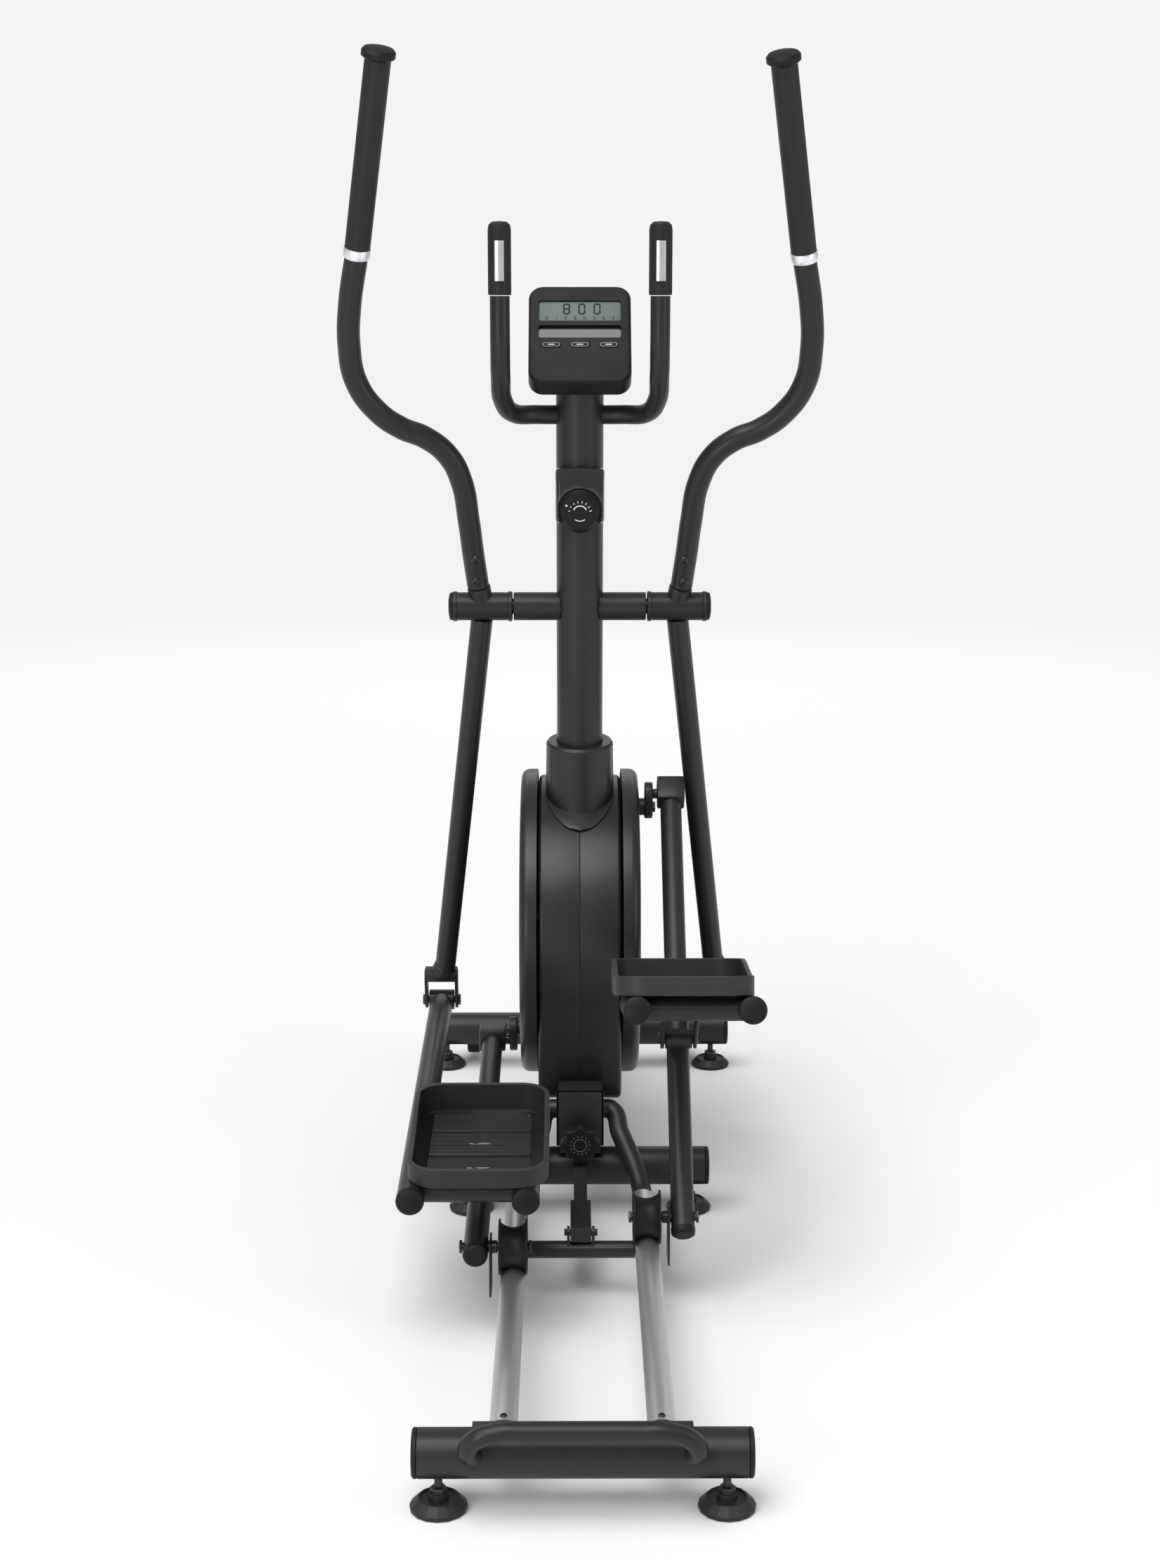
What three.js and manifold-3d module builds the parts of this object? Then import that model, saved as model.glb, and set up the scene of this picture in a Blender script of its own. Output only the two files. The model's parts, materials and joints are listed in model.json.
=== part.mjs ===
// Front-drive elliptical trainer.
// Millimetres, +Z up, +Y the way the user faces, +X to the user's right.
// Lengths along Y are counted from the rear stabiliser's axis, and the whole
// machine is then shifted so that the origin is the middle of its footprint.
import * as THREE from 'three';
import { mergeVertices } from 'three/addons/utils/BufferGeometryUtils.js';
import Module from 'manifold-3d';

const wasm = await Module();
wasm.setup();

// ---------------------------------------------------------------- clearances
const GAP = 0.3;              // between pieces that touch
const RUNNING_GAP = 0.6;      // round a turning shaft
const CLEAR = 2;              // beside a part that turns
const PAST = 9;               // how far a cutting shape runs past a wall
const FAR = 99;               // half length of a cutting bar right through

// ------------------------------------------------------------- base and feet
const STABILISER_RADIUS = 30;
const STABILISER_HEIGHT = 72.4;
const REAR_HALF = 205;
const MID_HALF = 205;
const MID_Y = 937;
const FRONT_Y = 1644;
const FRONT_HALF = 281;
const END_CHAMFER = 2;        // on the stabilisers' ends
const FOOT_RADIUS = 35;
const FOOT_HEIGHT = 22;
const FOOT_RIM = 6;           // height of the foot's upright rim
const FOOT_EDGE = 1.5;        // chamfer at the floor
const FOOT_TAPER = 12;        // how far the cone draws in
const FOOT_NUT_RADIUS = 9;
const FOOT_NUT_HEIGHT = 5;
const STEM_RADIUS = 5;
const FOOT_INSET = 32;        // foot centre in from the stabiliser's end
const LIFT_TUBE_RADIUS = 12;
const LIFT_HALF = 142;
const LIFT_RISE = 52;         // grip axis above the stabiliser's axis
const LIFT_INSETS = [12, 6, 14, 40, 75];         // path points in from the half width
const LIFT_ROOT = [[2, 12], [-10, 22]];          // out of the stabiliser's skin, above its axis
const LIFT_CORNER = [[2, -12], [0, -1], [0, 0]]; // short of the reach, below the top
const LIFT_REACH = 50;        // grip axis behind the stabiliser's axis
const WHEEL_RADIUS = 28;
const WHEEL_WIDTH = 24;
const WHEEL_X = 200;
const WHEEL_REACH = 56;       // wheel axle ahead of the front stabiliser's axis
const WHEEL_HEIGHT = 36;
const WHEEL_PIN = 5;
const WHEEL_CHAMFER = 3;
const WHEEL_EAR_RADIUS = 11;

// --------------------------------------------------------------------- rails
const RAIL_X = 95;
const RAIL_START = 14;
const RAIL_END = 785;
const RAIL_SLOPE = -0.0204;   // the crown falls a little towards the front
const RAIL_CROWN = 108.8;     // crown height above the rear stabiliser
const RAIL_WIDTH = 32;
const RAIL_DEPTH = 26;
const RAIL_CORNER = 5;
const COVER_WIDTH = 34;
const COVER_RISE = 7;
const COVER_EDGE = 1.2;
const PLATE_HALF = 132;
const PLATE_THICK = 4;
const PLATE_BACK = 12;        // plate's rear edge behind the stabiliser's axis
const TAB_DROP = 4;           // tabs reach this far below the stabiliser's axis
const PLATE_GAP = 1.2;        // the rail's end leans a little over the plate
const CROSSBAR_Y = 610;
const CROSSBAR_RADIUS = 12.5;
const CROSSBAR_RISE = 8;      // crossbar's axis above the rail's underside
const CROSSBAR_EAR = 9;
const BOW_RADIUS = 15;
const BOW_DROP = 3;           // bow's axis below the rail's at its start
const BOW_YOKE = [[12, 42], [-4, 40]]; // beside the bracket, below its top
const BRACKET_CLEAR_Z = 60;   // bow cut away from here up, between the bracket's walls
const PLATE_CLEAR = 60;       // rail cut away round the plate
const BOW_LAP = 6;            // how far the bow runs into the rail
const BOW_PATH = [            // share of the run, shift outwards, rise
  [0.19, 1, 2], [0.48, -10, 32], [0.77, -32, 72],
];

// ------------------------------------------------------- lock bracket, strut
const BRACKET_Y = 905;
const BRACKET_HALF = 37;
const BRACKET_LENGTH = 45;
const BRACKET_TOP = 209;
const BRACKET_BOTTOM = 117;
const BRACKET_WALL = 4;
const LOCK_HEIGHT = 134;
const LOCK_RADIUS = 30;
const LOCK_THICK = 24;
const LOCK_STAND = 20;        // knob's front face behind the bracket
const LOCK_SHANK = 6;
const LOCK_LOBES = 8;
const LOCK_LOBE_DEPTH = 2.4;
const LOCK_EDGE = 3;
const LOCK_SEAT = 8;          // how far the shank runs into the knob
const STRUT_LOWER_WIDTH = 30;
const STRUT_LOWER_DEPTH = 22;
const STRUT_UPPER_WIDTH = 20;
const STRUT_UPPER_DEPTH = 16;
const STRUT_SPLIT = 0.34;     // share of the strut that is the lower channel
const STRUT_BOLT = 5;
const STRUT_HEAD_LAP = 4;
const STRUT_HEAD_RISE = 15;

// -------------------------------------------------------- frame and its mast
const BEAM_HALF = 32;
const BEAM_DEPTH = 44;
const BEAM_PAST_FRONT = 20;
const PIVOT_Y = 1054;
const PIVOT_Z = 951;
const MAST_RADIUS = 36;
const MAST_LEAN = 0.129;      // rearward run per unit of rise
const MAST_ABOVE = 381;       // mast's top above the pivot
const MAST_TOP = PIVOT_Z + MAST_ABOVE;
const PIVOT_TUBE_RADIUS = 22;
const PIVOT_TUBE_HALF = 103;
const SPINDLE_RADIUS = 12;
const SLEEVE_LENGTH = 93;
const PIVOT_CAP = 6.5;
const COLLAR_TOP = 726;
const COLLAR_TOP_RADIUS = 53;
const COLLAR_BASE_RADIUS = 63;

// --------------------------------------------------------- shroud and cranks
const CRANK_Y = 1169;
const CRANK_Z = 414;
const CRANK_RADIUS = 228;
const CRANK_ANGLE = 102;      // right pin above +Y, degrees
const SHROUD_RADIUS = 240;
const SHROUD_HALF = 66;
const SHROUD_WALL = 4;
const SHROUD_ROUND = 13;
const SHROUD_FOOT_HALF = 205; // half length of the shroud's foot
const SHROUD_BOTTOM = 168;
const SHROUD_CORNER = 26;
const SHROUD_TANGENT = 20;    // degrees below level where the round ends
const COLLAR_SEAT = 0.6;      // collar's foot, as a share of the shroud's radius
const DISC_RADIUS = 250;
const DISC_OUTER = 95;
const DISC_WALL = 3;
const DISC_HUB = 20;
const DISC_EDGE = 8;
const AXLE_RADIUS = 10;
const CRANK_BAR = 40;
const CRANK_THICK = 16;
const BOSS_RADIUS = 14;
const BOSS_INSET = 23;        // boss centre inside the pin's circle
const END_PLATE_RADIUS = 19;
const END_PLATE_THICK = 13;
const PIN_RADIUS = 8;

// ------------------------------------------------------------- drive inside
const BEARING_SHELL_RADIUS = 25;
const BEARING_SHELL_HALF = 42;
const PEDESTAL_HALF = 24;
const PEDESTAL_LENGTH_HALF = 25;
const PEDESTAL_ABOVE = 8;     // pedestal's top above the bearing shell
const DRIVE_PULLEY_RADIUS = 95;
const SMALL_PULLEY_RADIUS = 15;
const PULLEY_INNER = 45;
const PULLEY_WIDTH = 12;
const BELT_THICK = 3;
const BELT_GAP = 1.6;
const FLYWHEEL_FORWARD = 125;
const FLYWHEEL_DROP = 40;
const FLYWHEEL_RADIUS = 80;
const FLYWHEEL_HALF = 17;
const FLYWHEEL_SHAFT = 8;
const FLYWHEEL_HUB = 22;      // hub radius, and the rim's width
const FLYWHEEL_HUB_SINK = 6;
const FLYWHEEL_WEB = 5;
const PULLEY_RIM = 12;
const PULLEY_RECESS = 3;
const PLATE_SPACE = 4;        // flywheel's side plates beyond the clearance
const SHAFT_PLATE_RADIUS = 20;
const SHOE_PLATE_RADIUS = 12;
const SIDE_PLATE = 4;
const SHOE_RADIUS = 83;
const SHOE_DEPTH = 12;
const SHOE_HALF = 13;
const SHOE_FROM = 20;
const SHOE_TO = 100;
const SHOE_PIN = 5;

// ------------------------------------------------------------------ linkage
const SWING_LENGTH = 724;
const SWING_TUBE_RADIUS = 17;
const SWING_RING_RADIUS = 19;
const SWING_RING_AT = 57;     // end ring above the lower pivot
const BRIDGE_AT = 42;         // underside of the fork's bridge above the pivot
const SLEEVE_X = 153;
const LINK_X = 234;
const LINK_LENGTH = 823;
const LINK_TUBE_RADIUS = 19;
const LINK_INNER_X = 76;
const LINK_TO_PIVOT = 492.4;
const LINK_PIVOT_DROP = 53.7;
const LINK_CROSS_AT = 590;
const LINK_REAR_CROSS_AT = 780;
const LINK_CROSS_RADIUS = 16;
const EYE_RADIUS = 17;
const EYE_HALF = 21;
const CLEVIS_WALL = 5;
const FORK_RADIUS = 14;
const EAR_RADIUS = 15;
const NECK_LENGTH = 36;       // taper from the eye to the link tube
const BOLT_RADIUS = 6;
const BOLT_HEAD_RADIUS = 9;
const BOLT_HEAD = 4;
const ARM_X = 147;
const ARM_LENGTH = 731.6;
const ARM_TUBE_RADIUS = 17;
const ARM_OVERHANG = 30;
const ARM_PIVOT_ALONG = 274;
const ARM_PIVOT_ABOVE = 27;
const ARM_SLEEVE_RADIUS = 15;
const ARM_SLEEVE_HALF = 20;
const JOINT_BLOCK_HALF = 22;
const JOINT_BLOCK_LENGTH = 42;
const JOINT_BLOCK_DEPTH = 44;
const JOINT_BLOCK_ROUND = 20; // radius of the block's rounded underside
const JOINT_BLOCK_CHIN = 8;   // flat sides end above the underside
const JOINT_BLOCK_LAP = 2;    // arm tube into the block
const ARM_PAD_HALF = 12;
const AXLE_HEAD_SINK = 2;
const ROLLER_WIDTH = 40;
const ROLLER_WAIST = 26.9;
const ROLLER_RIM = 39;
const GUARD_THICK = 3;
const GUARD_WIDTH = 46;
const GUARD_DROP = 66;
const GUARD_RISE = 12;
const GUARD_SPACE = 2;        // beside the arm tube
const ROLLER_EASE = 1.5;      // rim's corner, across and along
const ROLLER_EASE_ALONG = 1;

// ------------------------------------------------------------------- pedals
const PEDAL_INNER_X = 45;
const PEDAL_OUTER_X = 239;
const PEDAL_LENGTH = 268;
const PEDAL_CORNER = 42;
const PEDAL_FLOOR = 8;
const PEDAL_WALL = 7;
const PEDAL_FRONT_WALL = 40;
const PEDAL_REAR_WALL = 19;
const PEDAL_BEHIND = 6;       // pedal's rear edge ahead of the tube's end
const PEDAL_LOW_END = 0.2;    // share of the length where the low rim ends
const PEDAL_KNEE = 0.72;      // share where the rim climbs fastest
const PEDAL_HIGH_PULL = 0.84;
const PEDAL_LOW_PULL = 0.75;  // share of the knee
const PEDAL_LOW_LIFT = 4;
const PEDAL_KNEE_RISE = 0.55; // share of the climb reached at the knee
const PEDAL_RIB = 4;
const PEDAL_RIB_INSET = 26;
const PEDAL_RIB_PROUD = 3;
const PEDAL_RIB_SHARES = [0.34, 0.66];

// ------------------------------------------------------------------ handles
const HANDLE_BACK = 5;        // degrees that the handle leans behind its arm
const HANDLE_RADIUS = 17;
const HANDLE_START = 34;
const HANDLE_GRIP_RADIUS = 18.5;
const HANDLE_CAP_RADIUS = 24;
const HANDLE_CAP_LENGTH = 14;
const HANDLE_PATH = [         // sideways from the centre plane, up from the pivot
  [158, 38], [164, 90], [170, 150], [179, 212], [199, 256], [231, 284],
  [267, 300], [301, 326], [330, 372], [338, 430], [334, 490], [320, 567],
];
const HANDLE_TOP = [277, 845];

// ---------------------------------------------------- console, pulse, tension
const CONSOLE_HALF = 77;
const CONSOLE_LENGTH = 172;
const CONSOLE_THICK = 38;
const CONSOLE_TILT = 35;      // degrees that the face looks up
const CONSOLE_Y = 993;
const CONSOLE_ABOVE = 419;    // middle of the face above the pivot
const CONSOLE_Z = PIVOT_Z + CONSOLE_ABOVE;
const CONSOLE_CORNER = 22;
const SCREEN_HALF = 62;
const SCREEN_HEIGHT = 36;
const SCREEN_UP = 41;         // screen's centre above the face's centre
const SCREEN_SINK = 2.5;
const SCREEN_THICK = 3;
const POCKET_CORNER = 4;
const CONSOLE_ROUND = 6;
const MAST_INTO_CONSOLE = 200; // length of mast cut out of the case
const WELL_BELOW = 3;         // key wells deeper than the keys
const DOCK_HEIGHT = 22;
const DOCK_UP = 4;
const DOCK_DEPTH = 7;
const BUTTON_UP = -20;
const BUTTON_SPREAD = 43;
const BUTTON_HALF = 15;
const BUTTON_HEIGHT = 9;
const BUTTON_PROUD = 1.2;
const BUTTON_DEPTH = 4;
const PULSE_RADIUS = 14.5;
const PULSE_X = 117;
const PULSE_Y = 900;
const PULSE_STRAIGHT = 28;    // first point of the bend beyond the mast's skin
const PULSE_BACK = 4;         // and behind the root
const PULSE_CORNER = [[18, 26, 3], [2, 62, 24]]; // in from the upright, behind the root, above it
const PULSE_UPRIGHT = [[17, 60], [3, 100]];      // ahead of the grip, above the root
const PULSE_TAILS = [30, 1];                     // below the grip
const PULSE_ROOT_ABOVE = 298; // where the bar crosses the mast, above the pivot
const PULSE_ROOT_Z = PIVOT_Z + PULSE_ROOT_ABOVE;
const PULSE_GRIP_ABOVE = 475; // grips' lower ends above the pivot
const PULSE_GRIP_LENGTH = 105;
const PULSE_GRIP_BOTTOM = PIVOT_Z + PULSE_GRIP_ABOVE;
const PULSE_GRIP_TOP = PULSE_GRIP_BOTTOM + PULSE_GRIP_LENGTH;
const PULSE_GRIP_RADIUS = 17;
const TENSION_ABOVE = 162;    // knob's axis above the pivot
const TENSION_Z = PIVOT_Z + TENSION_ABOVE;
const TENSION_RADIUS = 33;
const TENSION_THICK = 18;
const TENSION_SHANK = 6;
const TENSION_SHANK_LAP = 4;  // shank into the knob
const TENSION_SHANK_PAST = 8; // shank inside the mast's wall
const TENSION_SEAT = 14;      // knob's back behind the mast
const TENSION_BLOCK_DEPTH = 24;
const TENSION_BLOCK_HALF = 37;
const TENSION_BLOCK_UP = 58;
const TENSION_BLOCK_DOWN = 26;

// ---------------------------------------------------------------- materials
function finish(color, roughness, metalness) {
  return new THREE.MeshStandardMaterial({ color, roughness, metalness });
}
const blackPaint = () => finish(0x2b2e32, 0.5, 0.3);
const blackPlastic = () => finish(0x1f2022, 0.55, 0);
const greyPlastic = () => finish(0x35353a, 0.65, 0);
const rubber = () => finish(0x191a1b, 0.85, 0);
const foam = () => finish(0x232528, 0.9, 0);
const brightMetal = () => finish(0xb9bdc1, 0.25, 1);
const castIron = () => finish(0x4b4d50, 0.5, 0.9);
const screenGlass = () => finish(0x7d8a80, 0.25, 0);

// ------------------------------------------------------------ shape helpers
const ROUND = 12;                // sides of a small round bar
const WIDE = 20;                 // sides of a large turned shape
const TUBE_SIDES = 8;            // sides of a bent tube

function toSolid(geometry) {
  const bare = geometry.index ? geometry.toNonIndexed() : geometry.clone();
  bare.deleteAttribute('normal');
  bare.deleteAttribute('uv');
  const merged = mergeVertices(bare, 1e-4);
  return new wasm.Manifold(new wasm.Mesh({
    numProp: 3,
    vertProperties: new Float32Array(merged.attributes.position.array),
    triVerts: new Uint32Array(merged.index.array),
  }));
}

function toGeometry(solid) {
  const mesh = solid.getMesh();
  const geometry = new THREE.BufferGeometry();
  geometry.setAttribute('position', new THREE.BufferAttribute(mesh.vertProperties, 3));
  geometry.setIndex(new THREE.BufferAttribute(mesh.triVerts, 1));
  geometry.computeVertexNormals();
  return geometry;
}

function join(...shapes) {
  let solid = toSolid(shapes[0]);
  for (const shape of shapes.slice(1)) {
    solid = solid.add(toSolid(shape));
  }
  return toGeometry(solid);
}

function cut(shape, ...tools) {
  let solid = toSolid(shape);
  for (const tool of tools) {
    solid = solid.subtract(toSolid(tool));
  }
  return toGeometry(solid);
}

function box(x0, x1, y0, y1, z0, z1) {
  const shape = new THREE.BoxGeometry(x1 - x0, y1 - y0, z1 - z0);
  shape.translate((x0 + x1) / 2, (y0 + y1) / 2, (z0 + z1) / 2);
  return shape;
}

// A round bar between two points.
function bar(radius, from, to, endRadius = radius, sides = ROUND) {
  const start = new THREE.Vector3(...from);
  const along = new THREE.Vector3(...to).sub(start);
  const shape = new THREE.CylinderGeometry(endRadius, radius, along.length(), sides);
  shape.translate(0, along.length() / 2, 0);
  const turn = new THREE.Quaternion();
  turn.setFromUnitVectors(new THREE.Vector3(0, 1, 0), along.clone().normalize());
  shape.applyQuaternion(turn);
  shape.translate(start.x, start.y, start.z);
  return shape;
}

// A round bar along X at a point of the side view.
function crossBar(radius, x0, x1, y = 0, z = 0, sides = ROUND) {
  return bar(radius, [x0, y, z], [x1, y, z], radius, sides);
}

// A turned shape about X. The profile's points are [radius, x].
function turned(profile, y = 0, z = 0, sides = ROUND) {
  const points = profile.map(([radius, x]) => new THREE.Vector2(radius, x));
  const shape = new THREE.LatheGeometry(points, sides);
  shape.rotateZ(-Math.PI / 2);
  shape.translate(0, y, z);
  return shape;
}

// A turned shape about Z. The profile's points are [radius, z].
function turnedUp(profile, sides = ROUND) {
  const points = profile.map(([radius, z]) => new THREE.Vector2(radius, z));
  const shape = new THREE.LatheGeometry(points, sides);
  shape.rotateX(Math.PI / 2);
  return shape;
}

function disc(radius) {
  const shape = new THREE.Shape();
  shape.absarc(0, 0, radius, 0, 2 * Math.PI, false);
  return shape;
}

// A tube bent along a smooth curve through points.
function bentBar(radius, points, steps, sides = TUBE_SIDES) {
  const path = new THREE.CatmullRomCurve3(points.map((p) => new THREE.Vector3(...p)), false, 'centripetal');
  const settings = { steps, extrudePath: path, bevelEnabled: false, curveSegments: sides / 2 };
  return new THREE.ExtrudeGeometry(disc(radius), settings);
}

// An outline in the side view (Y, Z), extruded along X from x0 to x1.
function sideExtrude(outline, x0, x1, curveSegments = 5, round = 0) {
  const settings = {
    depth: x1 - x0 - 2 * round,
    bevelEnabled: round > 0,
    bevelThickness: round,
    bevelSize: round,
    bevelOffset: -round,
    bevelSegments: 2,
    curveSegments,
  };
  const shape = new THREE.ExtrudeGeometry(outline, settings);
  // The outline's plane turns from XY to YZ, and its depth to X.
  const turn = new THREE.Matrix4().makeBasis(
    new THREE.Vector3(0, 1, 0),
    new THREE.Vector3(0, 0, 1),
    new THREE.Vector3(1, 0, 0),
  );
  shape.applyMatrix4(turn);
  shape.translate(x0 + round, 0, 0);
  return shape;
}

// A slot-shaped outline round two centres.
function obround(ax, ay, bx, by, radius) {
  const angle = Math.atan2(by - ay, bx - ax);
  const shape = new THREE.Shape();
  shape.absarc(bx, by, radius, angle - Math.PI / 2, angle + Math.PI / 2, false);
  shape.absarc(ax, ay, radius, angle + Math.PI / 2, angle + 1.5 * Math.PI, false);
  shape.closePath();
  return shape;
}

// ------------------------------------------------------------- the assembly
const degrees = (angle) => THREE.MathUtils.degToRad(angle);
const group = new THREE.Group();
const machine = new THREE.Group();
group.add(machine);

const rearmost = -LIFT_REACH - LIFT_TUBE_RADIUS;
const foremost = FRONT_Y + WHEEL_REACH + WHEEL_RADIUS;
machine.position.y = -(rearmost + foremost) / 2;

function piece(name, geometry, material, parent = machine) {
  const mesh = new THREE.Mesh(geometry, material);
  mesh.name = name;
  parent.add(mesh);
  return mesh;
}

const sides = [['left', -1], ['right', 1]];
const span = (side, a, b) => (side > 0 ? [a, b] : [-b, -a]);

// ------------------------------------------------------- linkage at rest
// Two circles in the side view meet at two points, and the one on the left of
// the line from a to b is wanted.
function meet(a, radiusA, b, radiusB) {
  const run = b.clone().sub(a);
  const distance = run.length();
  const along = (radiusA ** 2 - radiusB ** 2 + distance ** 2) / (2 * distance);
  const away = Math.sqrt(radiusA ** 2 - along ** 2);
  const unit = run.divideScalar(distance);
  return a.clone().addScaledVector(unit, along).addScaledVector(new THREE.Vector2(-unit.y, unit.x), away);
}

const crownAt = (y) => RAIL_CROWN + RAIL_SLOPE * y;
const rollerRise = ROLLER_WAIST + RUNNING_GAP;
const swingPivot = new THREE.Vector2(PIVOT_Y, PIVOT_Z);
const crankCentre = new THREE.Vector2(CRANK_Y, CRANK_Z);

function linkageAtRest(side) {
  const turn = degrees(side > 0 ? CRANK_ANGLE : CRANK_ANGLE + 180);
  const throwLine = new THREE.Vector2(Math.cos(turn), Math.sin(turn));
  const pin = crankCentre.clone().addScaledVector(throwLine, CRANK_RADIUS);
  let roller = new THREE.Vector2(pin.x - ARM_LENGTH, 0);
  for (let pass = 0; pass < 30; pass += 1) {
    const height = crownAt(roller.x) + rollerRise;
    roller = new THREE.Vector2(pin.x - Math.sqrt(ARM_LENGTH ** 2 - (pin.y - height) ** 2), height);
  }
  const arm = pin.clone().sub(roller).normalize();
  const armUp = new THREE.Vector2(-arm.y, arm.x);
  const pivot = roller.clone().addScaledVector(arm, ARM_PIVOT_ALONG).addScaledVector(armUp, ARM_PIVOT_ABOVE);
  const clevis = meet(swingPivot, SWING_LENGTH, pivot, LINK_TO_PIVOT);
  const reach = pivot.clone().sub(clevis);
  const armPitch = Math.atan2(arm.y, arm.x);
  const linkPitch = Math.atan2(-reach.y, -reach.x) - Math.asin(LINK_PIVOT_DROP / LINK_TO_PIVOT);
  const swingAngle = Math.atan2(clevis.x - swingPivot.x, swingPivot.y - clevis.y);
  return { pin, roller, pivot, clevis, armPitch, linkPitch, swingAngle, turn };
}

// A nested group whose own Y and Z lie in the side view, turned by an angle.
function sideGroup(origin, angle) {
  const nested = new THREE.Group();
  nested.position.set(0, origin.x, origin.y);
  nested.rotation.x = angle;
  machine.add(nested);
  return nested;
}

// ---------------------------------------------------------------- base
function stabiliser(half, y) {
  return turned([
    [0, -half], [STABILISER_RADIUS - END_CHAMFER, -half], [STABILISER_RADIUS, -half + END_CHAMFER],
    [STABILISER_RADIUS, half - END_CHAMFER], [STABILISER_RADIUS - END_CHAMFER, half], [0, half],
  ], y, STABILISER_HEIGHT);
}

function liftHandle() {
  const z = STABILISER_HEIGHT;
  const root = LIFT_ROOT.map(([out, up]) => [-STABILISER_RADIUS + out, z + up]);
  const corner = LIFT_CORNER.map(([short, below]) => [-LIFT_REACH + short, z + LIFT_RISE + below]);
  const side = [...root, ...corner].map(([y, height], index) => [LIFT_HALF - LIFT_INSETS[index], y, height]);
  const mirrored = side.map(([x, y, height]) => [-x, y, height]);
  const path = [...mirrored, [0, -LIFT_REACH, z + LIFT_RISE], ...side.reverse()];
  const clearance = crossBar(STABILISER_RADIUS + GAP, -REAR_HALF, REAR_HALF, 0, z);
  return cut(bentBar(LIFT_TUBE_RADIUS, path, 20), clearance);
}

function wheelBracket(side) {
  const outer = WHEEL_WIDTH / 2 + CLEAR;
  const wheelY = FRONT_Y + WHEEL_REACH;
  const shapes = [];
  for (const offset of [-outer - SIDE_PLATE, outer]) {
    const x = side * WHEEL_X + offset;
    const low = WHEEL_HEIGHT - WHEEL_EAR_RADIUS;
    shapes.push(box(x, x + SIDE_PLATE, FRONT_Y, wheelY, low, STABILISER_HEIGHT));
    shapes.push(crossBar(WHEEL_EAR_RADIUS, x, x + SIDE_PLATE, wheelY, WHEEL_HEIGHT));
  }
  const pinHalf = outer + SIDE_PLATE / 2;
  const middle = side * WHEEL_X;
  shapes.push(crossBar(WHEEL_PIN, middle - pinHalf, middle + pinHalf, wheelY, WHEEL_HEIGHT));
  return shapes;
}

function transportWheel(side) {
  const half = WHEEL_WIDTH / 2;
  const bore = WHEEL_PIN + RUNNING_GAP;
  const shape = turned([
    [bore, -half], [WHEEL_RADIUS - WHEEL_CHAMFER, -half], [WHEEL_RADIUS, -half + WHEEL_CHAMFER],
    [WHEEL_RADIUS, half - WHEEL_CHAMFER], [WHEEL_RADIUS - WHEEL_CHAMFER, half], [bore, half], [bore, -half],
  ], FRONT_Y + WHEEL_REACH, WHEEL_HEIGHT);
  shape.translate(side * WHEEL_X, 0, 0);
  return shape;
}

function foot() {
  const stemTop = STABILISER_HEIGHT - STABILISER_RADIUS - GAP;
  const nutTop = FOOT_HEIGHT + FOOT_NUT_HEIGHT;
  return turnedUp([
    [0, 0], [FOOT_RADIUS - FOOT_EDGE, 0], [FOOT_RADIUS, FOOT_EDGE], [FOOT_RADIUS, FOOT_RIM],
    [FOOT_RADIUS - FOOT_TAPER, FOOT_HEIGHT], [FOOT_NUT_RADIUS, FOOT_HEIGHT],
    [FOOT_NUT_RADIUS, nutTop], [STEM_RADIUS, nutTop], [STEM_RADIUS, stemTop], [0, stemTop],
  ]);
}

function buildBase() {
  piece('rear_stabiliser', stabiliser(REAR_HALF, 0), blackPaint());
  piece('mid_stabiliser', stabiliser(MID_HALF, MID_Y), blackPaint());
  const brackets = [...wheelBracket(-1), ...wheelBracket(1)];
  piece('front_stabiliser', join(stabiliser(FRONT_HALF, FRONT_Y), ...brackets), blackPaint());
  piece('lift_handle', liftHandle(), blackPaint());
  const rows = [['rear', REAR_HALF, 0], ['mid', MID_HALF, MID_Y], ['front', FRONT_HALF, FRONT_Y]];
  for (const [row, half, y] of rows) {
    for (const [sideName, side] of sides) {
      const mesh = piece(`${row}_foot_${sideName}`, foot(), rubber());
      mesh.position.set(side * (half - FOOT_INSET), y, 0);
    }
  }
  for (const [sideName, side] of sides) {
    piece(`transport_wheel_${sideName}`, transportWheel(side), rubber());
  }
}

// ---------------------------------------------------------------- rails
function coverOutline() {
  const half = COVER_WIDTH / 2;
  const radius = (half ** 2 + COVER_RISE ** 2) / (2 * COVER_RISE);
  const spread = Math.asin(half / radius);
  const shape = new THREE.Shape();
  shape.moveTo(-half, -COVER_RISE - COVER_EDGE);
  shape.lineTo(half, -COVER_RISE - COVER_EDGE);
  shape.absarc(0, -radius, radius, Math.PI / 2 - spread, Math.PI / 2 + spread, false);
  shape.closePath();
  return shape;
}

function railOutline(bottom, top, half, round) {
  const shape = new THREE.Shape();
  shape.moveTo(-half + round, bottom);
  shape.absarc(half - round, bottom + round, round, -Math.PI / 2, 0, false);
  shape.absarc(half - round, top - round, round, 0, Math.PI / 2, false);
  shape.absarc(-half + round, top - round, round, Math.PI / 2, Math.PI, false);
  shape.absarc(-half + round, bottom + round, round, Math.PI, 1.5 * Math.PI, false);
  shape.closePath();
  return shape;
}

// An outline across the rail (X, and Z from the crown), run along the rail.
function alongRail(outline, side, start, end) {
  const length = (end - start) * Math.hypot(1, RAIL_SLOPE);
  const shape = new THREE.ExtrudeGeometry(outline, { depth: length, bevelEnabled: false, curveSegments: 4 });
  shape.rotateX(Math.PI / 2);
  shape.rotateX(Math.atan(RAIL_SLOPE));
  shape.translate(side * RAIL_X, end, crownAt(end));
  return shape;
}

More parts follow.
